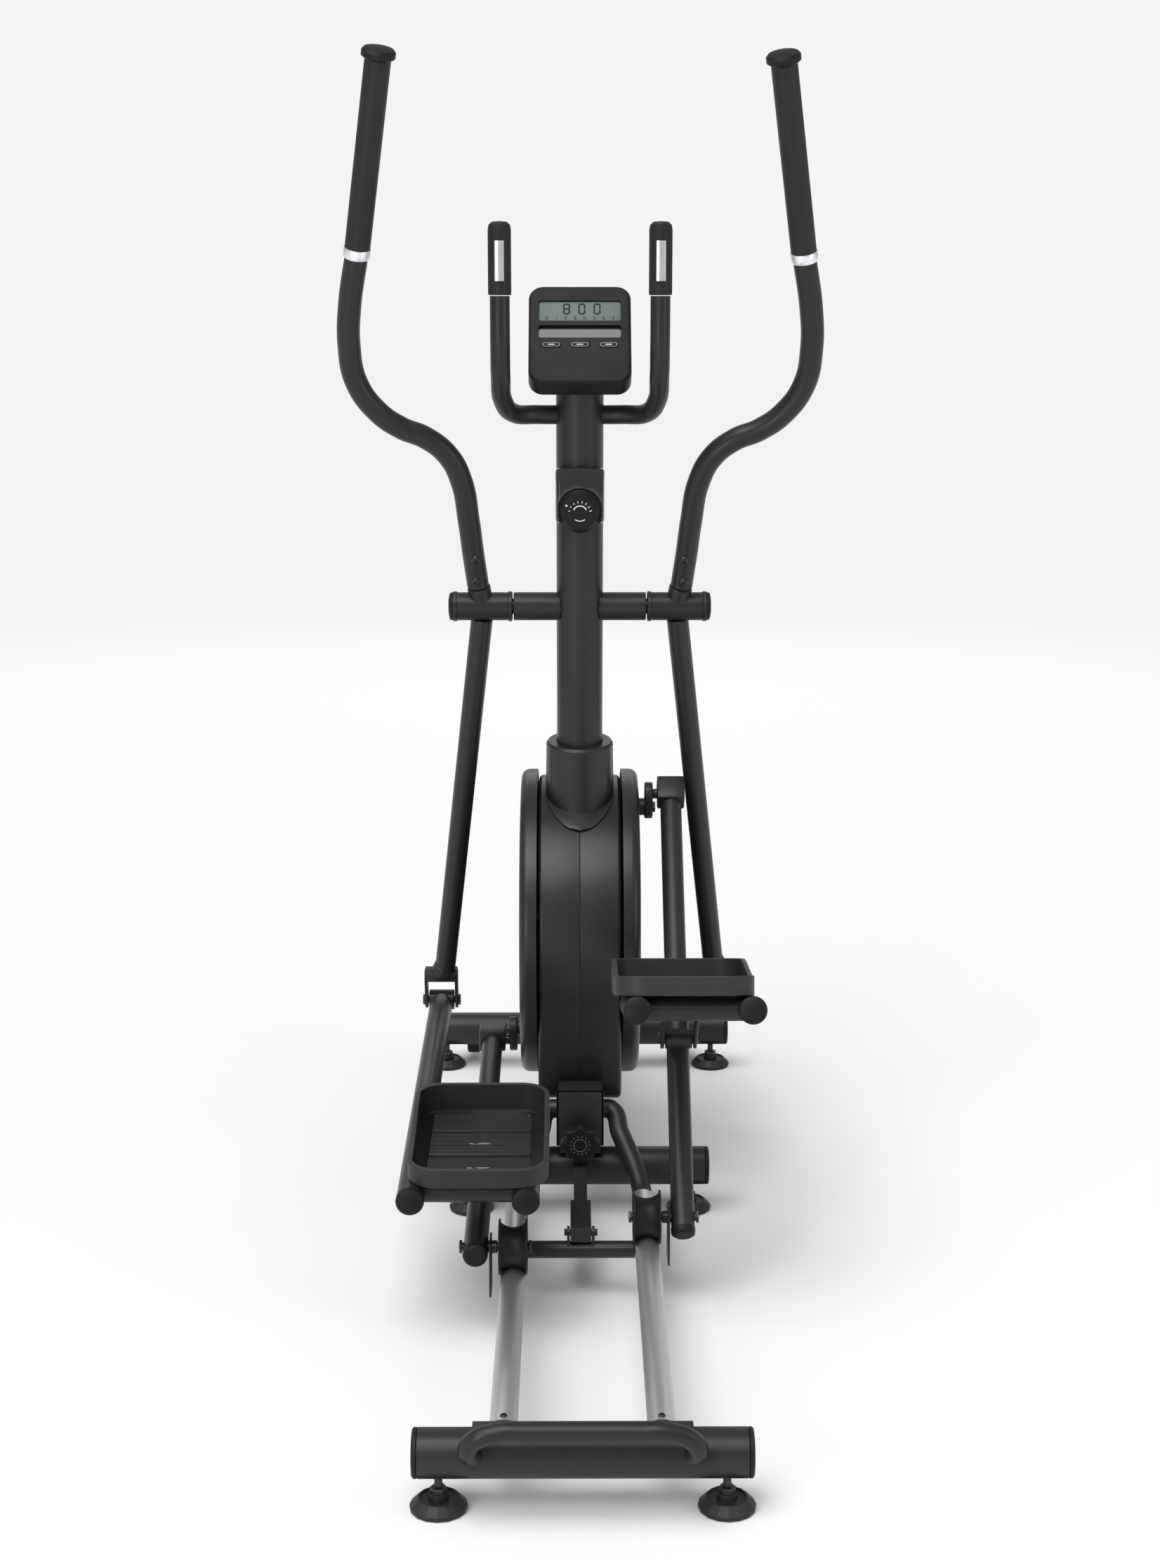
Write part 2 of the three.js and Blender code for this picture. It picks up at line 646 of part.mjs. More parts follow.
const railTop = -COVER_RISE - COVER_EDGE - GAP;
const railMiddle = railTop - RAIL_DEPTH / 2;
const bracketInner = BRACKET_HALF - BRACKET_WALL;

function rail(side) {
  const outline = railOutline(railTop - RAIL_DEPTH, railTop, RAIL_WIDTH / 2, RAIL_CORNER);
  const body = alongRail(outline, side, RAIL_START, RAIL_END);
  const z = crownAt(RAIL_END) + railMiddle - BOW_DROP;
  const yokeY = BRACKET_Y + BRACKET_LENGTH - BOW_RADIUS - CLEAR;
  const run = yokeY - RAIL_END;
  const bend = BOW_PATH.map(
    ([share, out, rise]) => [side * (RAIL_X + out), RAIL_END + share * run, z + rise],
  );
  const bow = bentBar(BOW_RADIUS, [
    [side * RAIL_X, RAIL_END - BOW_LAP, z],
    ...bend,
    ...BOW_YOKE.map(([out, below]) => [side * (BRACKET_HALF + out), yokeY, BRACKET_TOP - below]),
  ], 14);
  const wide = BRACKET_HALF + GAP;
  const clearBracket = box(-wide, wide, BRACKET_Y, yokeY + FAR, BRACKET_CLEAR_Z, BRACKET_TOP);
  const clearStabiliser = crossBar(STABILISER_RADIUS + GAP, -REAR_HALF, REAR_HALF, 0, STABILISER_HEIGHT);
  const plateBottom = STABILISER_HEIGHT + STABILISER_RADIUS + GAP;
  const reach = PLATE_CLEAR;
  const clearPlate = box(-PLATE_HALF, PLATE_HALF, -reach, reach, plateBottom, plateBottom + reach);
  return cut(join(body, bow), clearBracket, clearStabiliser, clearPlate);
}

function railPlate() {
  const top = STABILISER_HEIGHT + STABILISER_RADIUS + GAP;
  const face = RAIL_START - PLATE_GAP;
  const strip = box(-PLATE_HALF, PLATE_HALF, -PLATE_BACK, face, top, top + PLATE_THICK);
  const reachDown = STABILISER_HEIGHT - TAB_DROP;
  const tabs = [];
  for (const [, side] of sides) {
    const [x0, x1] = [side * RAIL_X - RAIL_WIDTH / 2, side * RAIL_X + RAIL_WIDTH / 2];
    tabs.push(box(x0, x1, face - PLATE_THICK, face, reachDown, top + PLATE_THICK));
  }
  const clearance = crossBar(STABILISER_RADIUS + GAP, -REAR_HALF, REAR_HALF, 0, STABILISER_HEIGHT);
  return cut(join(strip, ...tabs), clearance);
}

function strutLine() {
  const foot = new THREE.Vector2(CROSSBAR_Y, crownAt(CROSSBAR_Y));
  const head = new THREE.Vector2(
    MID_Y - STABILISER_RADIUS + STRUT_HEAD_LAP,
    STABILISER_HEIGHT + STRUT_HEAD_RISE,
  );
  return { foot, head };
}

function strut(from, to, width, depth) {
  const { foot, head } = strutLine();
  const run = head.clone().sub(foot);
  const length = run.length();
  const shape = box(-width / 2, width / 2, from * length, to * length, -depth / 2, depth / 2);
  shape.rotateX(Math.atan2(run.y, run.x));
  shape.translate(0, foot.x, foot.y);
  return shape;
}

function buildRails() {
  for (const [sideName, side] of sides) {
    piece(`rail_${sideName}`, rail(side), blackPaint());
    piece(`rail_cover_${sideName}`, alongRail(coverOutline(), side, RAIL_START, RAIL_END), brightMetal());
  }
  piece('rail_plate', railPlate(), blackPaint());

  const inner = RAIL_X - RAIL_WIDTH / 2 - GAP;
  const barZ = crownAt(CROSSBAR_Y) + railTop - RAIL_DEPTH + CROSSBAR_RISE;
  const { foot } = strutLine();
  const ears = [];
  for (const [, side] of sides) {
    const [x0, x1] = span(side, STRUT_LOWER_WIDTH / 2 + 1, STRUT_LOWER_WIDTH / 2 + 1 + SIDE_PLATE);
    ears.push(box(x0, x1, foot.x - CROSSBAR_EAR, foot.x + CROSSBAR_EAR, barZ, foot.y));
    ears.push(crossBar(CROSSBAR_EAR, x0, x1, foot.x, foot.y));
  }
  const boltHalf = STRUT_LOWER_WIDTH / 2 + 1 + SIDE_PLATE + BOLT_HEAD;
  const bolt = crossBar(STRUT_BOLT, -boltHalf, boltHalf, foot.x, foot.y, 16);
  const across = crossBar(CROSSBAR_RADIUS, -inner, inner, CROSSBAR_Y, barZ);
  piece('rail_crossbar', join(across, ...ears, bolt), blackPaint());

  const length = strutLine().head.clone().sub(foot).length();
  const seam = STRUT_SPLIT;
  const boltHole = crossBar(STRUT_BOLT + GAP, -boltHalf, boltHalf, foot.x, foot.y, 16);
  const barClear = crossBar(CROSSBAR_RADIUS + GAP, -inner, inner, CROSSBAR_Y, barZ);
  const start = -STRUT_LOWER_DEPTH / 2 / length;
  const lower = cut(strut(start, seam, STRUT_LOWER_WIDTH, STRUT_LOWER_DEPTH), boltHole, barClear);
  piece('strut_lower', lower, blackPaint());
  const midClear = crossBar(STABILISER_RADIUS + GAP * 2, -MID_HALF, MID_HALF, MID_Y, STABILISER_HEIGHT);
  const upper = strut(seam + GAP / length, 1, STRUT_UPPER_WIDTH, STRUT_UPPER_DEPTH);
  piece('strut_upper', cut(upper, midClear), blackPaint());
}

// ------------------------------------------------------- bracket and lock
function lockKnob() {
  const outline = new THREE.Shape();
  const steps = LOCK_LOBES * 4;
  for (let step = 0; step < steps; step += 1) {
    const angle = (2 * Math.PI * step) / steps;
    const radius = LOCK_RADIUS - LOCK_LOBE_DEPTH * (1 - Math.cos(LOCK_LOBES * angle));
    const point = [radius * Math.cos(angle), radius * Math.sin(angle)];
    if (step === 0) {
      outline.moveTo(...point);
    } else {
      outline.lineTo(...point);
    }
  }
  outline.closePath();
  const settings = {
    depth: LOCK_THICK - 2 * LOCK_EDGE,
    bevelThickness: LOCK_EDGE,
    bevelSize: LOCK_EDGE,
    bevelOffset: -LOCK_EDGE,
    bevelSegments: 1,
  };
  const head = new THREE.ExtrudeGeometry(outline, settings);
  head.rotateX(Math.PI / 2);
  head.translate(0, BRACKET_Y - LOCK_STAND - LOCK_EDGE, LOCK_HEIGHT);
  const seat = [0, BRACKET_Y - LOCK_STAND - LOCK_SEAT, LOCK_HEIGHT];
  const tip = [0, BRACKET_Y + BRACKET_WALL + 1, LOCK_HEIGHT];
  const shank = bar(LOCK_SHANK, seat, tip);
  return join(head, shank);
}

function buildBracket() {
  const end = BRACKET_Y + BRACKET_LENGTH;
  const outer = box(-BRACKET_HALF, BRACKET_HALF, BRACKET_Y, end, BRACKET_BOTTOM, BRACKET_TOP);
  const back = BRACKET_Y + BRACKET_WALL;
  const ceiling = BRACKET_TOP - BRACKET_WALL;
  const hollow = box(-bracketInner, bracketInner, back, end + PAST, BRACKET_BOTTOM - PAST, ceiling);
  const hole = [0, BRACKET_Y - PAST, LOCK_HEIGHT];
  const shankHole = bar(LOCK_SHANK + RUNNING_GAP, hole, [0, BRACKET_Y + PAST, LOCK_HEIGHT]);
  piece('lock_bracket', cut(outer, hollow, shankHole), blackPaint());
  piece('lock_knob', lockKnob(), blackPlastic());
}

// ------------------------------------------------------- frame and mast
const mastAt = (z) => PIVOT_Y - MAST_LEAN * (z - PIVOT_Z);
const flywheelCentre = new THREE.Vector2(CRANK_Y + FLYWHEEL_FORWARD, CRANK_Z - FLYWHEEL_DROP);
const beamBottom = STABILISER_HEIGHT + STABILISER_RADIUS + GAP;
const pedestalTop = CRANK_Z + BEARING_SHELL_RADIUS + PEDESTAL_ABOVE;
const shoeMiddle = SHOE_RADIUS + SHOE_DEPTH / 2;
const shoePivot = new THREE.Vector2(
  flywheelCentre.x + shoeMiddle * Math.cos(degrees(SHOE_TO)),
  flywheelCentre.y + shoeMiddle * Math.sin(degrees(SHOE_TO)),
);

function mastBar(radius, bottom, top) {
  return bar(radius, [0, mastAt(bottom), bottom], [0, mastAt(top), top], radius, WIDE);
}

function mainFrame() {
  const shapes = [];
  const beamStart = BRACKET_Y + BRACKET_WALL + CLEAR;
  const beamTop = beamBottom + BEAM_DEPTH;
  const back = CRANK_Y - PEDESTAL_LENGTH_HALF;
  const front = CRANK_Y + PEDESTAL_LENGTH_HALF;
  shapes.push(box(-BEAM_HALF, BEAM_HALF, beamStart, FRONT_Y + BEAM_PAST_FRONT, beamBottom, beamTop));
  shapes.push(box(-PEDESTAL_HALF, PEDESTAL_HALF, back, front, beamTop - 1, pedestalTop));
  shapes.push(crossBar(BEARING_SHELL_RADIUS, -BEARING_SHELL_HALF, BEARING_SHELL_HALF, CRANK_Y, CRANK_Z));
  const plateInner = FLYWHEEL_HALF + CLEAR + PLATE_SPACE;
  for (const [, side] of sides) {
    const [x0, x1] = span(side, plateInner, plateInner + SIDE_PLATE);
    const from = flywheelCentre;
    shapes.push(sideExtrude(obround(CRANK_Y, from.y, from.x, from.y, SHAFT_PLATE_RADIUS), x0, x1));
    const post = obround(shoePivot.x, from.y, shoePivot.x, shoePivot.y, SHOE_PLATE_RADIUS);
    shapes.push(sideExtrude(post, x0, x1));
  }
  const axle = crossBar(AXLE_RADIUS + RUNNING_GAP, -FAR, FAR, CRANK_Y, CRANK_Z);
  const shaft = crossBar(FLYWHEEL_SHAFT + RUNNING_GAP, -FAR, FAR, flywheelCentre.x, flywheelCentre.y);
  const shoe = crossBar(SHOE_PIN + RUNNING_GAP, -FAR, FAR, shoePivot.x, shoePivot.y);
  return cut(join(...shapes), axle, shaft, shoe);
}

function pulsePath() {
  const rootY = mastAt(PULSE_ROOT_Z);
  const root = [0, rootY, PULSE_ROOT_Z];
  const side = [
    [MAST_RADIUS + PULSE_STRAIGHT, rootY - PULSE_BACK, PULSE_ROOT_Z],
    ...PULSE_CORNER.map(([inset, back, up]) => [PULSE_X - inset, rootY - back, PULSE_ROOT_Z + up]),
    ...PULSE_UPRIGHT.map(([ahead, up]) => [PULSE_X, PULSE_Y + ahead, PULSE_ROOT_Z + up]),
    ...PULSE_TAILS.map((below) => [PULSE_X, PULSE_Y, PULSE_GRIP_BOTTOM - below]),
  ];
  const mirrored = side.map(([x, y, z]) => [-x, y, z]).reverse();
  return [...mirrored, root, ...side];
}

function buildMast() {
  piece('main_frame', mainFrame(), blackPaint());
  const pivotTube = crossBar(PIVOT_TUBE_RADIUS, -PIVOT_TUBE_HALF, PIVOT_TUBE_HALF, PIVOT_Y, PIVOT_Z);
  const spindleHalf = PIVOT_TUBE_HALF + CLEAR + SLEEVE_LENGTH + GAP + PIVOT_CAP;
  const spindle = crossBar(SPINDLE_RADIUS, -spindleHalf, spindleHalf, PIVOT_Y, PIVOT_Z);
  const caps = [];
  for (const [, side] of sides) {
    const [x0, x1] = span(side, spindleHalf - PIVOT_CAP, spindleHalf);
    caps.push(crossBar(PIVOT_TUBE_RADIUS, x0, x1, PIVOT_Y, PIVOT_Z));
  }
  const post = mastBar(MAST_RADIUS, pedestalTop + GAP + 5, MAST_TOP);
  const pulseHole = bentBar(PULSE_RADIUS + GAP, pulsePath(), 26);
  const tensionHole = tensionBar(TENSION_SHANK + RUNNING_GAP, -FAR, 0);
  piece('mast', cut(join(post, pivotTube, spindle, ...caps), pulseHole, tensionHole), blackPaint());
}

// ------------------------------------------------------- shroud
const SHROUD_STEPS = 12;

function shroudOutline(inset) {
  const radius = SHROUD_RADIUS - inset;
  const tangent = degrees(SHROUD_TANGENT);
  const bottom = SHROUD_BOTTOM + inset;
  const half = SHROUD_FOOT_HALF - inset;
  const corner = SHROUD_CORNER;
  const shape = new THREE.Shape();
  shape.moveTo(CRANK_Y - half + corner, bottom);
  shape.absarc(CRANK_Y + half - corner, bottom + corner, corner, -Math.PI / 2, 0, false);
  shape.absarc(CRANK_Y, CRANK_Z, radius, -tangent, Math.PI + tangent, false);
  shape.absarc(CRANK_Y - half + corner, bottom + corner, corner, Math.PI, 1.5 * Math.PI, false);
  shape.closePath();
  return shape;
}

function shroudHalf(side) {
  const outer = sideExtrude(shroudOutline(0), -SHROUD_HALF, SHROUD_HALF, SHROUD_STEPS, SHROUD_ROUND);
  const hollowHalf = SHROUD_HALF - SHROUD_WALL;
  const hollow = sideExtrude(shroudOutline(SHROUD_ROUND + 1), -hollowHalf, hollowHalf, SHROUD_STEPS);
  const reach = 2 * SHROUD_RADIUS;
  const [x0, x1] = span(-side, -GAP / 2, SHROUD_HALF + PAST);
  const other = box(x0, x1, CRANK_Y - reach, CRANK_Y + reach, CRANK_Z - reach, CRANK_Z + reach);
  const mastHole = mastBar(MAST_RADIUS + CLEAR, CRANK_Z, CRANK_Z + reach);
  const axleHole = crossBar(AXLE_RADIUS + CLEAR * 2, -FAR, FAR, CRANK_Y, CRANK_Z);
  const legHalf = PEDESTAL_HALF + CLEAR;
  const legLength = PEDESTAL_LENGTH_HALF + CLEAR;
  const legHole = box(-legHalf, legHalf, CRANK_Y - legLength, CRANK_Y + legLength, beamBottom, CRANK_Z);
  return cut(outer, hollow, other, mastHole, axleHole, legHole);
}

function collar() {
  const low = CRANK_Z + SHROUD_RADIUS * COLLAR_SEAT;
  const skirt = bar(
    COLLAR_BASE_RADIUS, [0, mastAt(low), low], [0, mastAt(COLLAR_TOP), COLLAR_TOP], COLLAR_TOP_RADIUS, WIDE,
  );
  const drumHalf = SHROUD_HALF + GAP;
  const drum = sideExtrude(shroudOutline(-GAP), -drumHalf, drumHalf, SHROUD_STEPS, SHROUD_ROUND);
  const bore = mastBar(MAST_RADIUS + GAP, CRANK_Z, COLLAR_TOP + FAR);
  return cut(skirt, drum, bore);
}

function buildShroud() {
  for (const [sideName, side] of sides) {
    piece(`shroud_${sideName}`, shroudHalf(side), blackPlastic());
  }
  piece('mast_collar', collar(), blackPlastic());
}

// ------------------------------------------------------- cranks and drive
const DISC_SIDES = 40;
const discInner = SHROUD_HALF + CLEAR;
const crankInner = SHROUD_HALF + 4;
const crankOuter = crankInner + CRANK_THICK;
const endPlateInner = DISC_OUTER + 10;
const endPlateOuter = endPlateInner + END_PLATE_THICK;

function crankDisc(side) {
  const r = DISC_RADIUS;
  const profile = [
    [0, crankOuter + GAP], [DISC_HUB, crankOuter + GAP], [DISC_HUB, DISC_OUTER - DISC_WALL],
    [r - DISC_EDGE - 1, DISC_OUTER - DISC_WALL], [r - DISC_WALL, DISC_OUTER - DISC_EDGE - DISC_WALL],
    [r - DISC_WALL, discInner], [r, discInner], [r, DISC_OUTER - DISC_EDGE],
    [r - DISC_EDGE, DISC_OUTER], [0, DISC_OUTER],
  ];
  const shape = turned(profile.map(([radius, x]) => [radius, side * x]), CRANK_Y, CRANK_Z, DISC_SIDES);
  const { turn } = linkageAtRest(side);
  const bossY = CRANK_Y + (CRANK_RADIUS - BOSS_INSET) * Math.cos(turn);
  const bossZ = CRANK_Z + (CRANK_RADIUS - BOSS_INSET) * Math.sin(turn);
  if (side < 0) {
    shape.index.array.reverse();
  }
  return cut(shape, crossBar(BOSS_RADIUS + 1, side * crankInner, side * (DISC_OUTER + PAST), bossY, bossZ));
}

function crankArm(side) {
  const { turn, pin } = linkageAtRest(side);
  const bossY = CRANK_Y + (CRANK_RADIUS - BOSS_INSET) * Math.cos(turn);
  const bossZ = CRANK_Z + (CRANK_RADIUS - BOSS_INSET) * Math.sin(turn);
  const [bar0, bar1] = span(side, crankInner, crankOuter);
  const [plate0, plate1] = span(side, endPlateInner, endPlateOuter);
  const web = sideExtrude(obround(CRANK_Y, CRANK_Z, bossY, bossZ, CRANK_BAR / 2), bar0, bar1);
  const boss = crossBar(BOSS_RADIUS, side * (crankInner + 1), side * (endPlateInner + 1), bossY, bossZ);
  const plate = sideExtrude(obround(bossY, bossZ, pin.x, pin.y, END_PLATE_RADIUS), plate0, plate1);
  return join(web, boss, plate);
}

function crankAxle() {
  const half = crankInner - GAP;
  const axle = crossBar(AXLE_RADIUS, -half, half, CRANK_Y, CRANK_Z);
  const inner = PULLEY_INNER;
  const outer = PULLEY_INNER + PULLEY_WIDTH;
  const hub = AXLE_RADIUS - 1;
  const web = DRIVE_PULLEY_RADIUS - PULLEY_RIM;
  const webInner = inner + PULLEY_RECESS;
  const webOuter = outer - PULLEY_RECESS;
  const rim = turned([
    [hub, webInner], [web, webInner], [web, inner],
    [DRIVE_PULLEY_RADIUS, inner], [DRIVE_PULLEY_RADIUS, outer], [web, outer],
    [web, webOuter], [hub, webOuter], [hub, webInner],
  ], CRANK_Y, CRANK_Z, WIDE);
  return join(axle, rim);
}

function beltOutline(grow) {
  const big = DRIVE_PULLEY_RADIUS + grow;
  const small = SMALL_PULLEY_RADIUS + grow;
  const run = flywheelCentre.clone().sub(crankCentre);
  const angle = Math.atan2(run.y, run.x);
  const open = Math.acos((big - small) / run.length());
  const shape = new THREE.Shape();
  shape.absarc(crankCentre.x, crankCentre.y, big, angle + open, angle + 2 * Math.PI - open, false);
  shape.absarc(flywheelCentre.x, flywheelCentre.y, small, angle - open, angle + open, false);
  shape.closePath();
  return shape;
}

function buildDrive() {
  for (const [sideName, side] of sides) {
    piece(`crank_disc_${sideName}`, crankDisc(side), blackPlastic());
    piece(`crank_arm_${sideName}`, crankArm(side), blackPaint());
  }
  piece('crank_axle', crankAxle(), brightMetal());
  const inner = PULLEY_INNER + 1;
  const outer = PULLEY_INNER + PULLEY_WIDTH - 1;
  const loop = cut(
    sideExtrude(beltOutline(BELT_GAP + BELT_THICK), inner, outer, WIDE),
    sideExtrude(beltOutline(BELT_GAP), inner - PAST, outer + PAST, WIDE),
  );
  piece('drive_belt', loop, rubber());

  const { x, y } = flywheelCentre;
  const half = FLYWHEEL_HALF;
  const bore = FLYWHEEL_SHAFT + GAP;
  const hubHalf = half - FLYWHEEL_HUB_SINK;
  const rim = FLYWHEEL_RADIUS - FLYWHEEL_HUB;
  piece('flywheel', turned([
    [bore, -hubHalf], [FLYWHEEL_HUB, -hubHalf], [FLYWHEEL_HUB, -FLYWHEEL_WEB],
    [rim, -FLYWHEEL_WEB], [rim, -half],
    [FLYWHEEL_RADIUS, -half], [FLYWHEEL_RADIUS, half], [rim, half], [rim, FLYWHEEL_WEB],
    [FLYWHEEL_HUB, FLYWHEEL_WEB], [FLYWHEEL_HUB, hubHalf], [bore, hubHalf], [bore, -hubHalf],
  ], x, y, WIDE), castIron());
  const shaftEnd = PULLEY_INNER + PULLEY_WIDTH;
  piece('flywheel_shaft', join(
    crossBar(FLYWHEEL_SHAFT, -FLYWHEEL_HALF - 14, shaftEnd, x, y),
    crossBar(SMALL_PULLEY_RADIUS, PULLEY_INNER, shaftEnd, x, y),
  ), brightMetal());

  const arc = new THREE.Shape();
  arc.absarc(x, y, SHOE_RADIUS + SHOE_DEPTH, degrees(SHOE_FROM), degrees(SHOE_TO), false);
  arc.absarc(x, y, SHOE_RADIUS, degrees(SHOE_TO), degrees(SHOE_FROM), true);
  arc.closePath();
  const pinHalf = FLYWHEEL_HALF + CLEAR + PLATE_SPACE + SIDE_PLATE;
  piece('brake_shoe', join(
    sideExtrude(arc, -SHOE_HALF, SHOE_HALF, 10),
    crossBar(SHOE_PIN, -pinHalf, pinHalf, shoePivot.x, shoePivot.y, 16),
  ), castIron());
}

// ------------------------------------------------------- swing arms, handles
function swingArm(side, swingAngle) {
  const sleeveInner = PIVOT_TUBE_HALF + CLEAR;
  const [sleeve0, sleeve1] = span(side, sleeveInner, sleeveInner + SLEEVE_LENGTH);
  const shapes = [crossBar(PIVOT_TUBE_RADIUS, sleeve0, sleeve1)];
  const drop = SWING_LENGTH - SWING_RING_AT;
  const splay = (LINK_X - SLEEVE_X) / SWING_LENGTH;
  const xAt = (distance) => side * (SLEEVE_X + splay * distance);
  const forkX = side * LINK_X;
  shapes.push(bar(SWING_TUBE_RADIUS, [side * SLEEVE_X, 0, -4], [xAt(drop), 0, -drop]));
  shapes.push(bar(SWING_RING_RADIUS, [xAt(drop - 10), 0, -drop + 10], [forkX, 0, -drop - 6]));
  const outer = EYE_HALF + CLEAR + CLEVIS_WALL;
  const bridgeTop = -drop + 2;
  const bridgeBottom = -SWING_LENGTH + BRIDGE_AT;
  shapes.push(box(forkX - outer, forkX + outer, -FORK_RADIUS, FORK_RADIUS, bridgeBottom, bridgeTop));
  for (const offset of [-outer, outer - CLEVIS_WALL]) {
    const x = forkX + offset;
    const cheek = obround(0, -SWING_LENGTH, 0, bridgeTop - FORK_RADIUS, FORK_RADIUS);
    shapes.push(sideExtrude(cheek, x, x + CLEVIS_WALL));
  }
  shapes.push(crossBar(BOLT_RADIUS, forkX - outer, forkX + outer, 0, -SWING_LENGTH, 16));
  for (const [from, to] of [[-outer - BOLT_HEAD, -outer], [outer, outer + BOLT_HEAD]]) {
    shapes.push(crossBar(BOLT_HEAD_RADIUS, forkX + from, forkX + to, 0, -SWING_LENGTH, 6));
  }
  const back = degrees(HANDLE_BACK);
  const stubTop = HANDLE_START - GAP;
  const stubX = side * (SLEEVE_X + 4);
  shapes.push(bar(
    HANDLE_RADIUS + 1, [side * SLEEVE_X, 0, 0], [stubX, -stubTop * Math.sin(back), stubTop * Math.cos(back)],
  ));
  const sleeveOuter = sleeveInner + SLEEVE_LENGTH;
  const boreRadius = SPINDLE_RADIUS + RUNNING_GAP;
  const bore = crossBar(boreRadius, side * (sleeveInner - PAST), side * (sleeveOuter + PAST));
  return cut(join(...shapes), bore);
}

function swingHandle(side) {
  const back = degrees(HANDLE_BACK);
  const place = ([x, up]) => [side * x, -up * Math.sin(back), up * Math.cos(back)];
  const gripStart = HANDLE_PATH[HANDLE_PATH.length - 1];
  const tube = bentBar(HANDLE_RADIUS, HANDLE_PATH.map(place), 22);
  const grip = bar(HANDLE_GRIP_RADIUS, place(gripStart), place(HANDLE_TOP));
  const top = new THREE.Vector2(...HANDLE_TOP);
  const along = top.clone().sub(new THREE.Vector2(...gripStart)).normalize();
  const capEnd = top.clone().addScaledVector(along, HANDLE_CAP_LENGTH);
  const capStart = top.clone().addScaledVector(along, -2);
  const cap = bar(HANDLE_CAP_RADIUS, place([capStart.x, capStart.y]), place([capEnd.x, capEnd.y]));
  return join(tube, grip, cap);
}

function buildSwing(sideName, side, rest) {
  const arm = sideGroup(swingPivot, rest.swingAngle);
  piece(`swing_arm_${sideName}`, swingArm(side), blackPaint(), arm);
  piece(`swing_handle_${sideName}`, swingHandle(side), foam(), arm);
}

// ------------------------------------------------------- links and pedals
const linkPivotBack = Math.sqrt(LINK_TO_PIVOT ** 2 - LINK_PIVOT_DROP ** 2);
const earInner = ARM_SLEEVE_HALF + CLEAR;

function linkFrame(side) {
  const x = side * LINK_X;
  const innerX = side * LINK_INNER_X;
  const end = -LINK_LENGTH;
  const shapes = [crossBar(EYE_RADIUS, x - EYE_HALF, x + EYE_HALF)];
  const neck = -EYE_RADIUS - NECK_LENGTH;
  shapes.push(bar(LINK_TUBE_RADIUS - 3, [x, -EYE_RADIUS + 6, 0], [x, neck, 0], LINK_TUBE_RADIUS));
  shapes.push(bar(LINK_TUBE_RADIUS, [x, neck, 0], [x, end, 0]));
  shapes.push(bar(LINK_TUBE_RADIUS, [innerX, -LINK_CROSS_AT + LINK_TUBE_RADIUS, 0], [innerX, end, 0]));
  shapes.push(crossBar(LINK_CROSS_RADIUS, innerX, x, -LINK_CROSS_AT, 0));
  shapes.push(crossBar(LINK_CROSS_RADIUS, innerX, x, -LINK_REAR_CROSS_AT, 0));
  const armX = side * ARM_X;
  for (const offset of [-earInner - CLEVIS_WALL, earInner]) {
    const ear = obround(-linkPivotBack, -LINK_PIVOT_DROP, -LINK_CROSS_AT, 0, EAR_RADIUS);
    shapes.push(sideExtrude(ear, armX + offset, armX + offset + CLEVIS_WALL));
  }
  const pinHalf = earInner + CLEVIS_WALL + BOLT_HEAD;
  shapes.push(crossBar(BOLT_RADIUS, armX - pinHalf, armX + pinHalf, -linkPivotBack, -LINK_PIVOT_DROP, 16));
  const eyeEnd = EYE_HALF + PAST;
  return cut(join(...shapes), crossBar(BOLT_RADIUS + RUNNING_GAP, x - eyeEnd, x + eyeEnd, 0, 0, 16));
}

// The tray's outline from above. Its front corners are rounder than its sides are long.
function trayOutline(inset) {
  const x0 = PEDAL_INNER_X + inset;
  const x1 = PEDAL_OUTER_X - inset;
  const y0 = inset;
  const y1 = PEDAL_LENGTH - inset;
  const r = PEDAL_CORNER - inset;
  const shape = new THREE.Shape();
  shape.moveTo(x0 + r, y0);
  shape.absarc(x1 - r, y0 + r, r, -Math.PI / 2, 0, false);
  shape.absarc(x1 - r, y1 - r, r, 0, Math.PI / 2, false);
  shape.absarc(x0 + r, y1 - r, r, Math.PI / 2, Math.PI, false);
  shape.absarc(x0 + r, y0 + r, r, Math.PI, 1.5 * Math.PI, false);
  shape.closePath();
  return shape;
}

function trayBlock(inset, bottom, top) {
  const settings = { depth: top - bottom, bevelEnabled: false, curveSegments: 5 };
  const shape = new THREE.ExtrudeGeometry(trayOutline(inset), settings);
  shape.translate(0, 0, bottom);
  return shape;
}

